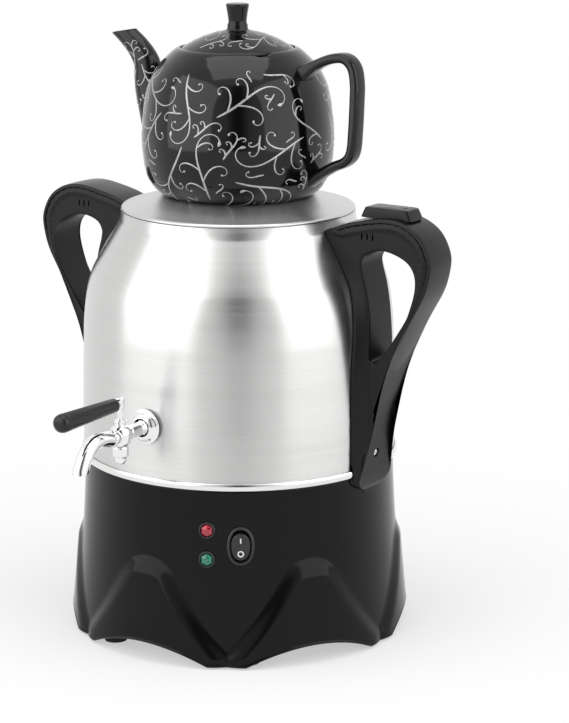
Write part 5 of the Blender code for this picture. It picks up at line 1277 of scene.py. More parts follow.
def build_tap():
    finish, size = FINISHES, sizes()
    wall = facing_out(0, size.tank_radius, TAP_Z)
    ball_at = Matrix.Translation((0, TAP_Y, TAP_Z))
    reach = 0.0293
    profile = eased([
        (0.0024, -0.014), (0.006, -0.014), (0.006, 0.0015), (0.0062, 0.0034), (0.0057, 0.0062),
        (0.0048, 0.0082),
        (0.0046, 0.014), (0.0048, 0.02), (0.0056, reach - 0.006), (0.0056, reach - 0.004),
        (0.0024, reach - 0.004),
    ], [0, 0.0004, 0, 0.001, 0.001, 0.002, 0.004, 0.004, 0.001, 0.0004, 0], 5, closed=True)
    body = add_piece("tap_barrel", placed(turned(profile, 64), wall), finish["chrome"], "samovar_body",
                     ["tap_body"], "chrome", wrap_rows=True)
    half = 0.00675
    ball = eased([
        (0.00415, -half), (0.0052, -half), (0.0066, -half * 0.72), (0.0073, -half * 0.2),
        (0.0073, half * 0.25),
        (0.0066, half * 0.76), (0.0049, half), (0.0036, half + 0.0004), (0.0037, half + 0.0016),
        (0.0045, half + 0.004), (0.0036, half + 0.004), (0.00195, half + 0.0036), (0.00195, half * 0.78),
        (0.00415, half * 0.75),
    ], [0, 0.0006, 0.0016, 0.002, 0.002, 0.0016, 0.0006, 0.0005, 0.0006, 0.0003, 0.0002, 0.0003, 0, 0], 5,
        closed=True)
    grid = placed(turned(ball, 64), ball_at)
    add_piece("tap_ball", grid, finish["chrome"], "samovar_body", wrap_rows=True, slot="chrome")
    collar = eased([(0.0024, 0.0042), (0.0052, 0.0042), (0.0058, 0.0085), (0.0058, 0.0105), (0.0052, 0.0113),
                    (0.0024, 0.0113)], [0, 0.0002, 0.0008, 0.0008, 0.0004, 0], closed=True)
    outward = facing_out(0, AXIS_Y - TAP_Y, TAP_Z)
    add_piece("tap_outlet_collar", placed(turned(collar, 48), outward), finish["chrome"], "samovar_body",
              wrap_rows=True, slot="chrome")
    rosette = eased([
        (0.0064, 0.0017), (0.0118, 0.0017), (0.0122, 0.0021), (0.0122, 0.0027), (0.0113, 0.0031),
        (0.0104, 0.0036),
        (0.0088, 0.0056), (0.0071, 0.0066), (0.0064, 0.0066),
    ], [0, 0.0003, 0.0003, 0.0003, 0.0006, 0.001, 0.002, 0.0006, 0], 5, closed=True)
    add_piece("tap_flange", placed(turned(rosette, 72), wall), finish["chrome"], "samovar_body",
              ["tap_rosette"],
              "chrome", wrap_rows=True)

    start, end = np.array([-0.01165, 0.0]), np.array([-0.0445, -0.0162])
    span = end - start
    first = start + (span[0] * 0.48, -span[1] * 0.3)
    second = start + (span[0] * 0.79, -span[1] * 0.09)
    t = np.linspace(0, 1, 60)[:, None]
    way = (1 - t) ** 3 * start + 3 * (1 - t) ** 2 * t * first + 3 * (1 - t) * t**2 * second + t**3 * end
    path = np.column_stack([0 * way[:, 0], TAP_Y + way[:, 0], TAP_Z + way[:, 1]])

    def tube(radius):
        grid = swept(path, oval(radius, radius, 48), across=(1, 0, 0))
        flat = np.clip((np.arange(60) - 49) / 10, 0, 1)[:, None] ** 2
        grid[..., 2] = grid[..., 2] * (1 - flat) + np.maximum(grid[..., 2], path[-1, 2]) * flat
        grid[-1, :, 2] = path[-1, 2]
        back = np.clip((6 - np.arange(60)) / 6, 0, 1)[:, None]
        grid[..., 1] = grid[..., 1] * (1 - back) + np.minimum(grid[..., 1], path[0, 1]) * back
        return grid

    outer, inner = tube(0.0054), tube(0.0034)
    lip = (outer[-1:] * 0.25 + inner[-1:] * 0.75)
    lip[..., 2] += 0.0002
    rows = np.concatenate([outer, lip, inner[::-1]])
    add_piece("spout", rows, finish["chrome"], "samovar_body", ["tap_spout"], "chrome", wrap_rows=True,
              sharp=55)

    low = -half - 0.0003
    nut = eased([
        (0, low - 0.0125), (0.0026, low - 0.0123), (0.0036, low - 0.0108), (0.0041, low - 0.0078),
        (0.0048, low - 0.0073), (0.0054, low - 0.0068), (0.0054, low - 0.001), (0.0046, low), (0, low),
    ], [0, 0.0006, 0.001, 0.0004, 0.0003, 0.0005, 0.0008, 0.0003, 0])
    cap = add_piece("tap_bottom_cap", placed(turned(nut, 48), ball_at), finish["chrome"], "samovar_body",
                    ["tap_bottom_nut"], "chrome")
    slot = placed(box_grid((-0.00045, -0.006, low - 0.014), (0.00045, 0.006, low - 0.0112)), ball_at)
    carved(cap, slot)

    sleeve = SPINDLE_HIGH.z - TAP_Z
    stem = eased([
        (0, -half + 0.0003), (0.004, -half + 0.0003), (0.004, half * 0.72), (0.0018, half * 0.72),
        (0.0018, sleeve - 0.0085), (0.0023, sleeve - 0.0083), (0.003, sleeve - 0.0068),
        (0.003, sleeve - 0.0006),
        (0.0025, sleeve), (0, sleeve),
    ], [0, 0.0002, 0.0002, 0, 0.0002, 0.0004, 0.0006, 0.0005, 0.0004, 0])
    stem = add_piece("tap_stem", placed(turned(stem, 48), ball_at), finish["chrome"], "tap_spindle",
                     ["tap_spindle"], "chrome")
    lever = (GRIP_LOW.z + GRIP_HIGH.z) / 2 - TAP_Z
    along = Matrix.Translation((0, TAP_Y, TAP_Z + lever)) @ Matrix.Rotation(math.pi / 2, 4, "X")
    bore = placed(closed_ends(turned([(0.0024, -0.006), (0.0024, 0.006)], 24)),
                  ball_at @ Matrix.Rotation(math.pi / 2, 4, "Y"))
    carved(stem, bore)
    rod = eased([(0, 0.001), (0.0022, 0.001), (0.0026, 0.0028), (0.0026, 0.005), (0.0017, 0.0054),
                 (0.0017, 0.058),
                 (0, 0.058)], [0, 0, 0.0004, 0.0004, 0, 0.0003, 0])
    add_piece("lever_rod", placed(turned(rod, 32), along), finish["chrome"], "tap_spindle", slot="chrome")
    end = TAP_Y - GRIP_LOW.y
    grip = eased([
        (0.002, 0.0058), (0.0041, 0.0055), (0.0047, 0.0066), (0.0062, end - 0.0085), (0.0059, end - 0.0082),
        (0.0059, end - 0.0077), (0.0063, end - 0.0074), (0.0064, end - 0.0045), (0.0056, end - 0.0016),
        (0.003, end - 0.0002), (0, end), (0, 0.0605), (0.002, 0.0605),
    ], [0, 0.0004, 0.0008, 0.0002, 0.0002, 0.0002, 0.0002, 0.0015, 0.0012, 0.001, 0, 0, 0])
    grid = turned(grip, 72)
    flats = 1 - 0.022 * np.abs(np.cos(4 * np.arange(72) * TURN / 72))[None, :, None] * np.where(
        (grid[..., 2:] > 0.008) & (grid[..., 2:] < end - 0.0088), 1, 0)
    grid[..., :2] *= flats
    add_piece("lever_grip", placed(grid, along), finish["grip"], "tap_spindle", ["tap_grip"], "soft_black")


# Teapot


POT_SHARES = (
    (0.66, 0.0), (0.78, 0.013), (0.86, 0.05), (0.932, 0.115), (0.972, 0.19), (1.0, 0.33), (1.0, 0.46),
    (0.975, 0.62), (0.94, 0.735), (0.88, 0.825), (0.8, 0.9), (0.715, 0.957), (0.655, 0.99), (0.628, 1.0),
)
POT_TALL = 0.1028
POT_WALL = 0.0032
SPOUT_WAY = (
    (0.41, 0.2), (0.615, 0.35), (0.728, 0.574), (0.78, 0.73), (0.797, 0.837), (0.837, 0.905),
    (0.9, 0.973), (1.003, 1.054), (1.12, 1.14),
)
SPOUT_ROOT = 0.0205
SPOUT_TIP = 0.0074
MOUTH_SLOPE = 0.18
LID_DOME = 0.0123
GRIP_WAY = (
    (0.45, 0.79), (0.55, 0.872), (0.64, 0.928), (0.757, 0.974), (0.858, 0.98), (0.921, 0.924),
    (0.942, 0.82), (0.941, 0.715), (0.932, 0.52), (0.916, 0.37), (0.868, 0.302), (0.771, 0.258),
    (0.675, 0.204), (0.579, 0.146), (0.5, 0.105),
)


def pot_line(count=110):
    """The teapot's outside as (radius, height), smooth through its measured points."""
    shares = np.array(POT_SHARES)
    points = np.column_stack([shares[:, 0] * sizes().pot_radius, POT_LOW.z + shares[:, 1] * POT_TALL])
    return curve_through(points, count)


def spout_line(count=90):
    """The middle line of the spout, past its mouth, and its radius r = tip + (root - tip) (1 - s)^1.3."""
    way = curve_through([(-s * 0.0975, POT_LOW.z + h * POT_TALL) for s, h in SPOUT_WAY], count)
    path = np.column_stack([way[:, 0], 0 * way[:, 0], way[:, 1]])
    share = np.clip(np.linspace(0, 1.14, count), 0, 1)
    return path, SPOUT_TIP + (SPOUT_ROOT - SPOUT_TIP) * (1 - share) ** 1.3


def mouth_height(x):
    """The spout is cut off by a nearly level plane through its end."""
    middle = SPOUT_WAY[-2]
    return POT_LOW.z + middle[1] * POT_TALL + MOUTH_SLOPE * (x + middle[0] * 0.0975)


def build_teapot():
    size, finish = sizes(), FINISHES
    outside = pot_line()
    tangent = np.gradient(outside, axis=0)
    tangent /= np.linalg.norm(tangent, axis=1)[:, None]
    inside = outside + POT_WALL * np.column_stack([-tangent[:, 1], tangent[:, 0]])
    base, top = POT_LOW.z, POT_LOW.z + POT_TALL
    mouth, ledge = 0.595 * size.pot_radius, 0.545 * size.pot_radius
    floor, ledge_z = base + 0.0052, top - 0.0022
    foot = 0.58 * size.pot_radius
    keep = (inside[:, 1] > floor + POT_WALL) & (inside[:, 1] < ledge_z - POT_WALL)
    inside = inside[keep][::-1]
    shell = np.vstack([
        eased([(0, base + 0.002), (foot - 0.003, base + 0.002), (foot - 0.001, base), (foot + 0.001, base)],
              [0, 0.001, 0.0006, 0], 3),
        outside[3:-1],
        eased([outside[-1], (outside[-1, 0] - 0.001, top + 0.0004), (mouth, top), (mouth, ledge_z),
               (ledge, ledge_z), (ledge, ledge_z - 0.0026)], [0, 0.0008, 0.0006, 0.0003, 0.0006, 0], 4),
        inside,
    ])
    last = eased([inside[-1], (0.6 * size.pot_radius, floor), (0, floor)], [0, 0.008, 0], 6)
    solid = np.vstack([shell[: len(shell) - len(inside)]])
    hollow = np.vstack([
        [(0, top + 0.006), (mouth, top + 0.006)],
        eased([(mouth, top + 0.003), (mouth, ledge_z), (ledge, ledge_z), (ledge, ledge_z - 0.0026)],
              [0, 0.0002, 0.0004, 0], 3),
        inside, last[1:],
    ])
    outer_profile = np.vstack([
        solid[: len(solid)][solid[:, 1] <= top + 0.001],
    ])
    rim_at = int(np.argmax(outer_profile[:, 1]))
    outer_profile = np.vstack([outer_profile[: rim_at + 1],
                               [(mouth + 0.0006, top + 0.0003), (0, top + 0.0003)]])
    steps = 192
    pot = add_piece("teapot_body", on_axis(turned(outer_profile, steps)), finish["glaze"], "pot", ["teapot"],
                    "glaze", sharp=45)
    spout_path, spout_radius = spout_line()
    grid = swept(spout_path, np.stack([oval(0.94 * r, r, 48) for r in spout_radius]))
    level = mouth_height(grid[..., 0]) - grid[..., 2]
    crossing = np.argmax(level < 0, axis=0)
    columns = np.arange(grid.shape[1])
    below, above = level[crossing - 1, columns], level[crossing, columns]
    end = crossing - 1 + below / (below - above)
    rows = np.linspace(0, 1, 70)[:, None] * end
    floor_row = np.floor(rows).astype(int)
    part = (rows - floor_row)[..., None]
    tube = grid[floor_row, columns] * (1 - part) + grid[floor_row + 1, columns] * part
    rim = tube[-1]
    middle = rim.mean(axis=0)
    lip = [middle + (rim - middle) * s + (0, 0, z) for s, z in
           ((0.985, 0.0004), (0.93, 0.0008), (0.84, 0.0009), (0.76, 0.0005), (0.72, -0.0004))]
    inner = [tube[-row].mean(axis=0) + (tube[-row] - tube[-row].mean(axis=0)) * 0.7 for row in (4, 8, 12, 16)]
    carved(pot, on_axis(closed_ends(np.concatenate([tube, np.stack(lip), np.stack(inner)]))), "UNION")
    way = curve_through([(s * 0.1037, base + h * POT_TALL) for s, h in GRIP_WAY], 120)
    path_grip = np.column_stack([way[:, 0], 0 * way[:, 0], way[:, 1]])
    share = np.linspace(0, 1, 120)
    swell = 1 + 1.1 * smooth_step(1 - share / 0.17) + 0.5 * smooth_step((share - 0.85) / 0.15)
    section = np.stack([oval(0.0065 * s**0.4, 0.0035 * s, 36, 3.4) for s in swell])
    carved(pot, on_axis(closed_ends(swept(path_grip, section))), "UNION")
    carved(pot, on_axis(turned(hollow, steps)))
    bore = swept(spout_path[:44], np.stack([oval(0.6 * r, 0.64 * r, 40) for r in spout_radius[:44]]))
    carved(pot, on_axis(closed_ends(bore)))
    notch = oval(0.0075, 0.0026, 28)
    at = math.radians(57)
    place = facing_out(at, mouth, top + 0.0006)
    rows = [np.column_stack([notch, np.full(28, z)]) for z in (-0.004, 0.008)]
    carved(pot, placed(closed_ends(np.stack(rows)), place))

    low, high = POT_LID_LOW.z, POT_LID_HIGH.z
    edge, plug = mouth - 0.0006, ledge - 0.0006
    seat = ledge_z + 0.0003
    brim, crown = seat + 0.0022, seat + 0.0022 + LID_DOME
    shares = np.linspace(1, 0.24, 24)
    dome = np.column_stack([(edge - 0.0008) * shares, brim + LID_DOME * (1 - shares**2)])
    dome = dome[dome[:, 0] > 0.0098]
    knob = curve_through([
        (0.0086, crown - 0.0004), (0.0075, crown + 0.0002), (0.0072, crown + 0.0014),
        (0.0071, crown + 0.0034),
        (0.0066, crown + 0.0042), (0.0064, crown + 0.0054), (0.0067, crown + 0.0086), (0.0079, high - 0.0026),
    ], 26)
    tip = eased([(0.008, high - 0.0026), (0.0081, high - 0.0008), (0.006, high - 0.0003), (0, high)],
                [0, 0.0012, 0.002, 0], 5)
    under = eased([
        (0, seat + 0.006), (plug * 0.6, seat + 0.0055), (plug - POT_WALL, seat), (plug - POT_WALL, low),
        (plug, low), (plug, seat), (edge, seat), (edge, brim - 0.0006), (edge - 0.0008, brim),
    ], [0, 0.004, 0.001, 0.0005, 0.0006, 0.0003, 0.0004, 0.0006, 0], 3)
    profile = np.vstack([under, dome[1:], knob, tip[1:]])
    add_piece("teapot_cover", on_axis(turned(profile, 128)), finish["glaze"], "pot_lid", ["teapot_lid"],
              "glaze",
              sharp=50)


def curl(start, heading, length, bend, tighten, steps=46):
    """A scroll line by its curvature: k(s) = bend + tighten (s / L)^2.6, and its heading is the sum of k ds."""
    s = np.linspace(0, 1, steps)
    curvature = bend + tighten * s**2.6
    ds = length / (steps - 1)
    angle = heading + np.concatenate([[0], np.cumsum((curvature[1:] + curvature[:-1]) / 2)]) * ds
    step = np.column_stack([np.cos(angle), np.sin(angle)]) * ds
    points = np.asarray(start) + np.vstack([[0, 0], np.cumsum((step[1:] + step[:-1]) / 2, axis=0)])
    return points, angle


def line_widths(steps, width, bud):
    """Width along a scroll: it grows from a point, swells at a third, thins, and ends in a round bud."""
    s = np.linspace(0, 1, steps)
    body = np.sqrt(np.clip(s / 0.06, 0,
                           1)) * (1 - 0.5 * s) * (0.8 + 0.4 * np.sin(np.pi * np.clip(s * 1.4, 0, 1)))
    tip = bud * np.exp(-((s - 0.965) / 0.022) ** 2)
    return width * (body + tip) * np.sqrt(np.clip((1 - s) / 0.02, 0, 1))


def ribbon(points, angle, widths, lay):
    """A thin closed band: points shifted sideways by half the width, laid on a surface at two heights."""
    side = np.column_stack([-np.sin(angle), np.cos(angle)])
    half = np.maximum(widths, 1e-6)[:, None] / 2
    left, right = points + side * half, points - side * half
    inner_left, inner_right = points + side * half * 0.6, points - side * half * 0.6
    rows = [lay(left, -0.0001), lay(inner_left, 0.00012), lay(inner_right, 0.00012), lay(right, -0.0001)]
    return closed_ends(np.stack(rows, axis=1))


class ScrollField:
    """A flat field of cells on which scroll lines are placed only where they keep clear of each other."""

    def __init__(self, low, high, cell=0.0005, clear=0.0021):
        self.low, self.cell = np.array(low), cell
        self.shape = tuple(np.ceil((np.array(high) - low) / cell).astype(int) + 1)
        self.taken = np.zeros(self.shape, bool)
        reach = int(round(clear / cell))
        step = np.arange(-reach, reach + 1)
        a, b = np.meshgrid(step, step, indexing="ij")
        near = a**2 + b**2 <= reach**2
        self.disc = np.column_stack([a[near], b[near]])

    def cells(self, points):
        return np.floor((points - self.low) / self.cell).astype(int)

    def free(self, points):
        at = self.cells(points)
        if (at < 0).any() or (at >= self.shape).any():
            return False
        return not self.taken[at[:, 0], at[:, 1]].any()

    def take(self, points):
        at = (self.cells(points)[:, None] + self.disc[None]).reshape(-1, 2)
        at = at[(at >= 0).all(axis=1) & (at < self.shape).all(axis=1)]
        self.taken[at[:, 0], at[:, 1]] = True

    def block(self, blocked):
        """Blocks cells where blocked(x, y) is true."""
        a, b = np.meshgrid(*(np.arange(count) * self.cell + low for count, low in zip(self.shape, self.low)),
                           indexing="ij")
        self.taken |= blocked(a, b)


def fill_with_scrolls(field, draws, lay, bands, width, sizes_down, tries=260):
    """Stems that end in spirals, largest first, each with side curls, wherever they keep clear of the rest."""
    span = np.array(field.shape) * field.cell
    for length in sizes_down:
        for _ in range(tries):
            begin = field.low + draws.random(2) * span
            heading, hand = draws.random() * TURN, draws.choice((-1, 1))
            stem, angle = curl(begin, heading, length, -hand * 0.9 / length, hand * 17.5 / length, 60)
            if not field.free(stem):
                continue
            bands.append(ribbon(stem, angle, line_widths(60, width * (0.8 + 6 * length), 1.2), lay))
            for at, side, scale in ((7, 1, 0.4), (14, -1, 0.46), (21, 1, 0.38), (28, -1, 0.4), (35, -1, 0.3)):
                turn = angle[at] + side * 0.55
                small = length * scale * (0.8 + 0.4 * draws.random())
                points, angles = curl(stem[at], turn, small, side * 1.2 / small, side * 15.0 / small, 40)
                if length * scale > 0.006 and field.free(points[9:]):
                    away = np.linalg.norm(points[12:, None] - stem[None], axis=2).min()
                    if away > 0.0016:
                        bands.append(ribbon(points, angles, line_widths(40, width * 0.85, 1.35), lay))
                        field.take(points[6:])
            field.take(stem)


def build_scrolls():
    size, finish = sizes(), FINISHES
    mean = 0.062
    line = pot_line(300)
    along = np.concatenate([[0], np.cumsum(np.linalg.norm(np.diff(line, axis=0), axis=1))])

    def lay_on_pot(points, lift):
        """(s, h): turn s / mean radius, and the way h up along the side; lifted off the glaze."""
        radius = np.interp(points[:, 1], along, line[:, 0]) + lift
        height = np.interp(points[:, 1], along, line[:, 1])
        turn = points[:, 0] / mean
        return np.column_stack([radius * np.sin(turn), AXIS_Y - radius * np.cos(turn), height])

    bands = []
    draws = np.random.default_rng(12)
    quarter = math.pi / 2 * mean
    high = float(np.interp(POT_LOW.z + 0.9 * POT_TALL, line[:, 1], along))
    field = ScrollField((-2 * quarter, 0.004), (2 * quarter, high))
    field.block(lambda s, h: (np.abs(s + quarter) / 0.024) ** 2 + ((h - 0.045) / 0.05) ** 2 < 1)
    field.block(lambda s, h: (np.abs(s - quarter) < 0.0105) & ((h > 0.07) | (h < 0.04)))
    fill_with_scrolls(field, draws, lay_on_pot, bands, size.scroll_width,
                      (0.066, 0.058, 0.05, 0.042, 0.034, 0.027, 0.021, 0.016, 0.012))
    add_piece("teapot_scrolls", bands, finish["scroll"], "pot", slot="steel", sharp=60)

    path, tube = spout_line()
    way = np.concatenate([[0], np.cumsum(np.linalg.norm(np.diff(path, axis=0), axis=1))])

    def lay_on_spout(points, lift):
        """(u, v): the way u along the spout, and v round it from the side that faces the tap."""
        centre = np.column_stack([np.interp(points[:, 0], way, column) for column in path.T])
        ahead = np.column_stack([np.interp(points[:, 0], way, column) for column in np.gradient(path,
                                                                                                axis=0).T])
        ahead /= np.linalg.norm(ahead, axis=1)[:, None]
        radius = np.interp(points[:, 0], way, tube)
        turn = points[:, 1] / 0.011
        across = np.array([0.0, -1.0, 0.0])
        other = np.cross(across, ahead)
        place = centre + (0.94 * radius * np.cos(turn) + lift)[:, None] * across
        place += ((radius + lift) * np.sin(turn))[:, None] * other
        return place + (0, AXIS_Y, 0)

    spout_bands = []
    for side in (0, 1):
        field = ScrollField((0.05, -0.013 + side * 0.011 * math.pi), (0.1, 0.013 + side * 0.011 * math.pi))
        fill_with_scrolls(field, draws, lay_on_spout, spout_bands, size.scroll_width * 0.8,
                          (0.034, 0.028, 0.022, 0.017, 0.012), 160)
    add_piece("spout_scrolls", spout_bands, finish["scroll"], "pot", slot="steel", sharp=60)

    seat = POT_LOW.z + POT_TALL - 0.0022 + 0.0003
    brim, edge = seat + 0.0022, 0.595 * size.pot_radius - 0.0014

    def lay_on_lid(points, lift):
        """Flat (x, y) about the axis becomes the dome's height over that place."""
        away = np.linalg.norm(points, axis=1)
        radius = np.clip(away, 0, edge * 0.985)
        height = brim + LID_DOME * (1 - (radius / edge) ** 2)
        scale = radius / np.maximum(away, 1e-9)
        return np.column_stack([points[:, 0] * scale, AXIS_Y + points[:, 1] * scale, height + lift])

    lid_bands = []
    field = ScrollField((-edge, -edge), (edge, edge))
    field.block(lambda x, y: (np.hypot(x, y) > edge - 0.0025) | (np.hypot(x, y) < 0.0125))
    fill_with_scrolls(field, draws, lay_on_lid, lid_bands, size.scroll_width * 0.7,
                      (0.04, 0.034, 0.027, 0.021, 0.016, 0.012), 200)
    add_piece("lid_scrolls", lid_bands, finish["scroll"], "pot_lid", slot="steel", sharp=60)


# Studio


def make_floor_material():
    """White floor that keeps the shadow near the object and fades to plain white away from it."""
    material = bpy.data.materials.new("Studio floor")
    material.use_nodes = True
    tree = material.node_tree
    tree.nodes.clear()
    out = tree.nodes.new("ShaderNodeOutputMaterial")
    diffuse = add_node(tree, "ShaderNodeBsdfDiffuse", Color=(0.92, 0.92, 0.92, 1))
    white = add_node(tree, "ShaderNodeEmission", Color=(1, 1, 1, 1), Strength=1.0)
    path = tree.nodes.new("ShaderNodeLightPath")
    seen = maths(tree, "MINIMUM", maths(tree, "ADD", maths(tree, "ADD", path.outputs["Is Camera Ray"],
                 path.outputs["Is Glossy Ray"]), path.outputs["Is Transmission Ray"]), 1.0)
    vector = tree.nodes.new("ShaderNodeTexCoord").outputs["Object"]
    away = add_node(tree, "ShaderNodeVectorMath", {"operation": "LENGTH"}, **{"0": vector}).outputs["Value"]
    fade = add_node(tree, "ShaderNodeMapRange", {"interpolation_type": "SMOOTHSTEP"}, Value=away)
    fade.inputs["From Min"].default_value = 0.1
    fade.inputs["From Max"].default_value = 0.6
    fade.inputs["To Min"].default_value = 0.5
    fade.inputs["To Max"].default_value = 1.0
    share = maths(tree, "MULTIPLY", seen, fade.outputs["Result"])
    mix = add_node(tree, "ShaderNodeMixShader",
                   **{"0": share, "1": diffuse.outputs[0], "2": white.outputs[0]})
    tree.links.new(mix.outputs[0], out.inputs["Surface"])
    return material


def add_softbox(name, turn, distance, height, size, power, aim=0.2):
    """An area light at a turn from the tap, looking at the tank's axis."""
    light = bpy.data.lights.new(name, "AREA")
    light.shape = "RECTANGLE"
    light.size, light.size_y = size
    light.energy = power
    lamp = bpy.data.objects.new(name, light)
    bpy.context.scene.collection.objects.link(lamp)
    place = Vector((distance * math.sin(turn), AXIS_Y - distance * math.cos(turn), height))
    lamp.location = place
    lamp.rotation_euler = (Vector((0, AXIS_Y, aim)) - place).to_track_quat("-Z", "Y").to_euler()
    return lamp


def make_dark_card(turn):
    """A curved card round the camera that only reflections see: dark in the middle, paler to its sides."""
    material = bpy.data.materials.new("Dark card")
    material.use_nodes = True
    tree = material.node_tree
    tree.nodes.clear()
    out = tree.nodes.new("ShaderNodeOutputMaterial")
    shade = add_node(tree, "ShaderNodeAttribute", {"attribute_name": "shade"}).outputs["Fac"]
    glow = add_node(tree, "ShaderNodeEmission", Color=(1, 1, 1, 1), Strength=shade)
    tree.links.new(glow.outputs[0], out.inputs["Surface"])
    off = np.radians(np.linspace(-50, 50, 201))
    level = np.interp(np.degrees(np.abs(off)), (0, 5, 14, 28, 50), (0.04, 0.06, 0.6, 0.85, 1.0))
    heights = np.array([0.02, 3.0])
    turns = turn + off
    grid = np.stack([np.column_stack([2.3 * np.sin(turns), AXIS_Y - 2.3 * np.cos(turns), np.full(201, z)])
                     for z in heights])
    mesh = bpy.data.meshes.new("dark_card")
    mesh.from_pydata(grid.reshape(-1, 3).tolist(), [], grid_faces(2, 201, False, False).tolist())
    mesh.attributes.new("shade", "FLOAT", "POINT").data.foreach_set("value", np.tile(level, 2))
    mesh.materials.append(material)
    card = bpy.data.objects.new("dark_card", mesh)
    bpy.context.scene.collection.objects.link(card)
    card.visible_camera = card.visible_diffuse = card.visible_shadow = False


def build_studio():
    scene = bpy.context.scene
    studio = scene.samovar_studio
    grid = np.stack([np.column_stack([r * np.cos(np.arange(64) * TURN / 64),
                                      r * np.sin(np.arange(64) * TURN / 64),
                                      np.full(64, 0.0)]) for r in (0.0, 0.5, 2.0, 8.0)])
    mesh = surface_mesh("studio_floor", grid)
    floor = bpy.data.objects.new("studio_floor", mesh)
    scene.collection.objects.link(floor)
    mesh.materials.append(make_floor_material())

    world = bpy.data.worlds.new("Studio light")
    scene.world = world
    world.use_nodes = True
    tree = world.node_tree
    tree.nodes.clear()
    out = tree.nodes.new("ShaderNodeOutputWorld")
    path = tree.nodes.new("ShaderNodeLightPath")
    seen = maths(tree, "MINIMUM", maths(tree, "ADD", maths(tree, "ADD", path.outputs["Is Camera Ray"],
                 path.outputs["Is Glossy Ray"]), path.outputs["Is Transmission Ray"]), 1.0)
    strength = maths(tree, "ADD", maths(tree, "MULTIPLY", seen, 1.0 - studio.fill), studio.fill)
    background = add_node(tree, "ShaderNodeBackground", Color=(1, 1, 1, 1), Strength=strength)
    tree.links.new(background.outputs[0], out.inputs["Surface"])

    turn = studio.camera_turn
    power = studio.softbox_power
    add_softbox("left_softbox", turn - math.radians(62), 1.7, 0.9, (2.2, 2.0), power)
    add_softbox("right_softbox", turn + math.radians(58), 1.7, 0.9, (1.9, 2.0), power * 0.8)
    add_softbox("top_softbox", turn, 0.2, 1.9, (1.5, 1.2), power * 0.5, 0.3)
    make_dark_card(turn)

    data = bpy.data.cameras.new("camera")
    data.lens = studio.camera_lens
    data.sensor_width = 36
    data.sensor_fit = "AUTO"
    data.clip_start = 0.01
    camera = bpy.data.objects.new("camera", data)
    scene.collection.objects.link(camera)
    camera.location = (studio.camera_distance * math.sin(turn),
                       AXIS_Y - studio.camera_distance * math.cos(turn),
                       studio.camera_height)
    camera.rotation_euler = (math.pi / 2 - studio.camera_pitch, 0, turn - studio.camera_yaw)
    scene.camera = camera
    scene.view_settings.view_transform = "Standard"


# Operators, panel and registering


class BuildOperator:
    """Shared by the operators: runs one building function."""

    bl_options = {"REGISTER", "UNDO"}
    builders = ()

    def execute(self, context):
        for build in self.builders:
            build()
        return {"FINISHED"}


class SAMOVAR_OT_finishes(BuildOperator, bpy.types.Operator):
    """Makes the shared patterns and every finish"""

    bl_idname = "samovar.finishes"
    bl_label = "Make Finishes"
    builders = (make_finishes,)


class SAMOVAR_OT_base(BuildOperator, bpy.types.Operator):
    """Builds the black base with its bells, arches and cut-outs"""

    bl_idname = "samovar.base"
    bl_label = "Build Base"
    builders = (build_housing,)


class SAMOVAR_OT_tank(BuildOperator, bpy.types.Operator):
    """Builds the steel tank, its trim ring and its lid"""

    bl_idname = "samovar.tank"
    bl_label = "Build Tank and Lid"
    builders = (build_tank,)


class SAMOVAR_OT_handles(BuildOperator, bpy.types.Operator):
    """Builds both loop handles, their covers and screws"""

    bl_idname = "samovar.handles"
    bl_label = "Build Handles"
    builders = (build_handles,)


class SAMOVAR_OT_slider(BuildOperator, bpy.types.Operator):
    """Builds the sliding lid catch on the right handle"""

    bl_idname = "samovar.slider"
    bl_label = "Build Lid Catch"
    builders = (build_slider,)


class SAMOVAR_OT_controls(BuildOperator, bpy.types.Operator):
    """Builds the rocker switch and the two lamps"""

    bl_idname = "samovar.controls"
    bl_label = "Build Switch and Lamps"
    builders = (build_controls,)


class SAMOVAR_OT_tap(BuildOperator, bpy.types.Operator):
    """Builds the plated tap with its spout and lever"""

    bl_idname = "samovar.tap"
    bl_label = "Build Tap"
    builders = (build_tap,)


class SAMOVAR_OT_teapot(BuildOperator, bpy.types.Operator):
    """Builds the glazed teapot, its lid and the silver scrolls"""

    bl_idname = "samovar.teapot"
    bl_label = "Build Teapot"
    builders = (build_teapot, build_scrolls)


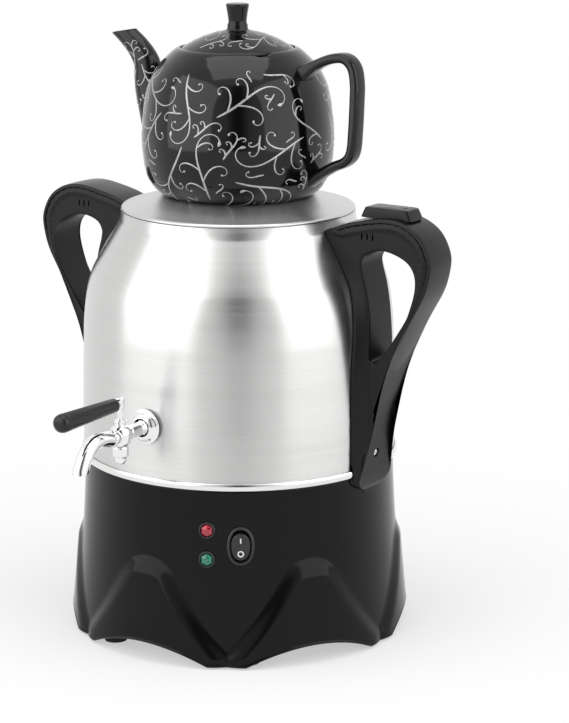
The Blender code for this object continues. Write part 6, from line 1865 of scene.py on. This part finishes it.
class SAMOVAR_OT_studio(BuildOperator, bpy.types.Operator):
    """Sets up the floor, the lights and the camera"""

    bl_idname = "samovar.studio"
    bl_label = "Set Up Studio"
    builders = (build_studio,)


OPERATORS = (
    SAMOVAR_OT_finishes, SAMOVAR_OT_base, SAMOVAR_OT_tank, SAMOVAR_OT_handles, SAMOVAR_OT_slider,
    SAMOVAR_OT_controls, SAMOVAR_OT_tap, SAMOVAR_OT_teapot, SAMOVAR_OT_studio,
)
GROUPS = (SamovarSizes, SamovarColours, StudioSettings)


class SAMOVAR_PT_panel(bpy.types.Panel):
    """Lists the building steps and their settings."""

    bl_label = "Samovar"
    bl_idname = "SAMOVAR_PT_panel"
    bl_space_type = "VIEW_3D"
    bl_region_type = "UI"
    bl_category = "Samovar"

    def draw(self, context):
        layout = self.layout
        scene = context.scene
        for operator in OPERATORS:
            layout.operator(operator.bl_idname)
        for settings in (scene.samovar_sizes, scene.samovar_colours, scene.samovar_studio):
            column = layout.column()
            for key in type(settings).__annotations__:
                column.prop(settings, key)


def register():
    for group in GROUPS:
        bpy.utils.register_class(group)
    bpy.types.Scene.samovar_sizes = PointerProperty(type=SamovarSizes)
    bpy.types.Scene.samovar_colours = PointerProperty(type=SamovarColours)
    bpy.types.Scene.samovar_studio = PointerProperty(type=StudioSettings)
    for operator in OPERATORS:
        bpy.utils.register_class(operator)
    bpy.utils.register_class(SAMOVAR_PT_panel)


def unregister():
    bpy.utils.unregister_class(SAMOVAR_PT_panel)
    for operator in reversed(OPERATORS):
        bpy.utils.unregister_class(operator)
    del bpy.types.Scene.samovar_studio
    del bpy.types.Scene.samovar_colours
    del bpy.types.Scene.samovar_sizes
    for group in reversed(GROUPS):
        bpy.utils.unregister_class(group)


def main():
    register()
    bpy.ops.samovar.finishes()
    bpy.ops.samovar.base()
    bpy.ops.samovar.tank()
    bpy.ops.samovar.handles()
    bpy.ops.samovar.slider()
    bpy.ops.samovar.controls()
    bpy.ops.samovar.tap()
    bpy.ops.samovar.teapot()
    bpy.ops.samovar.studio()


if __name__ == "__main__":
    main()
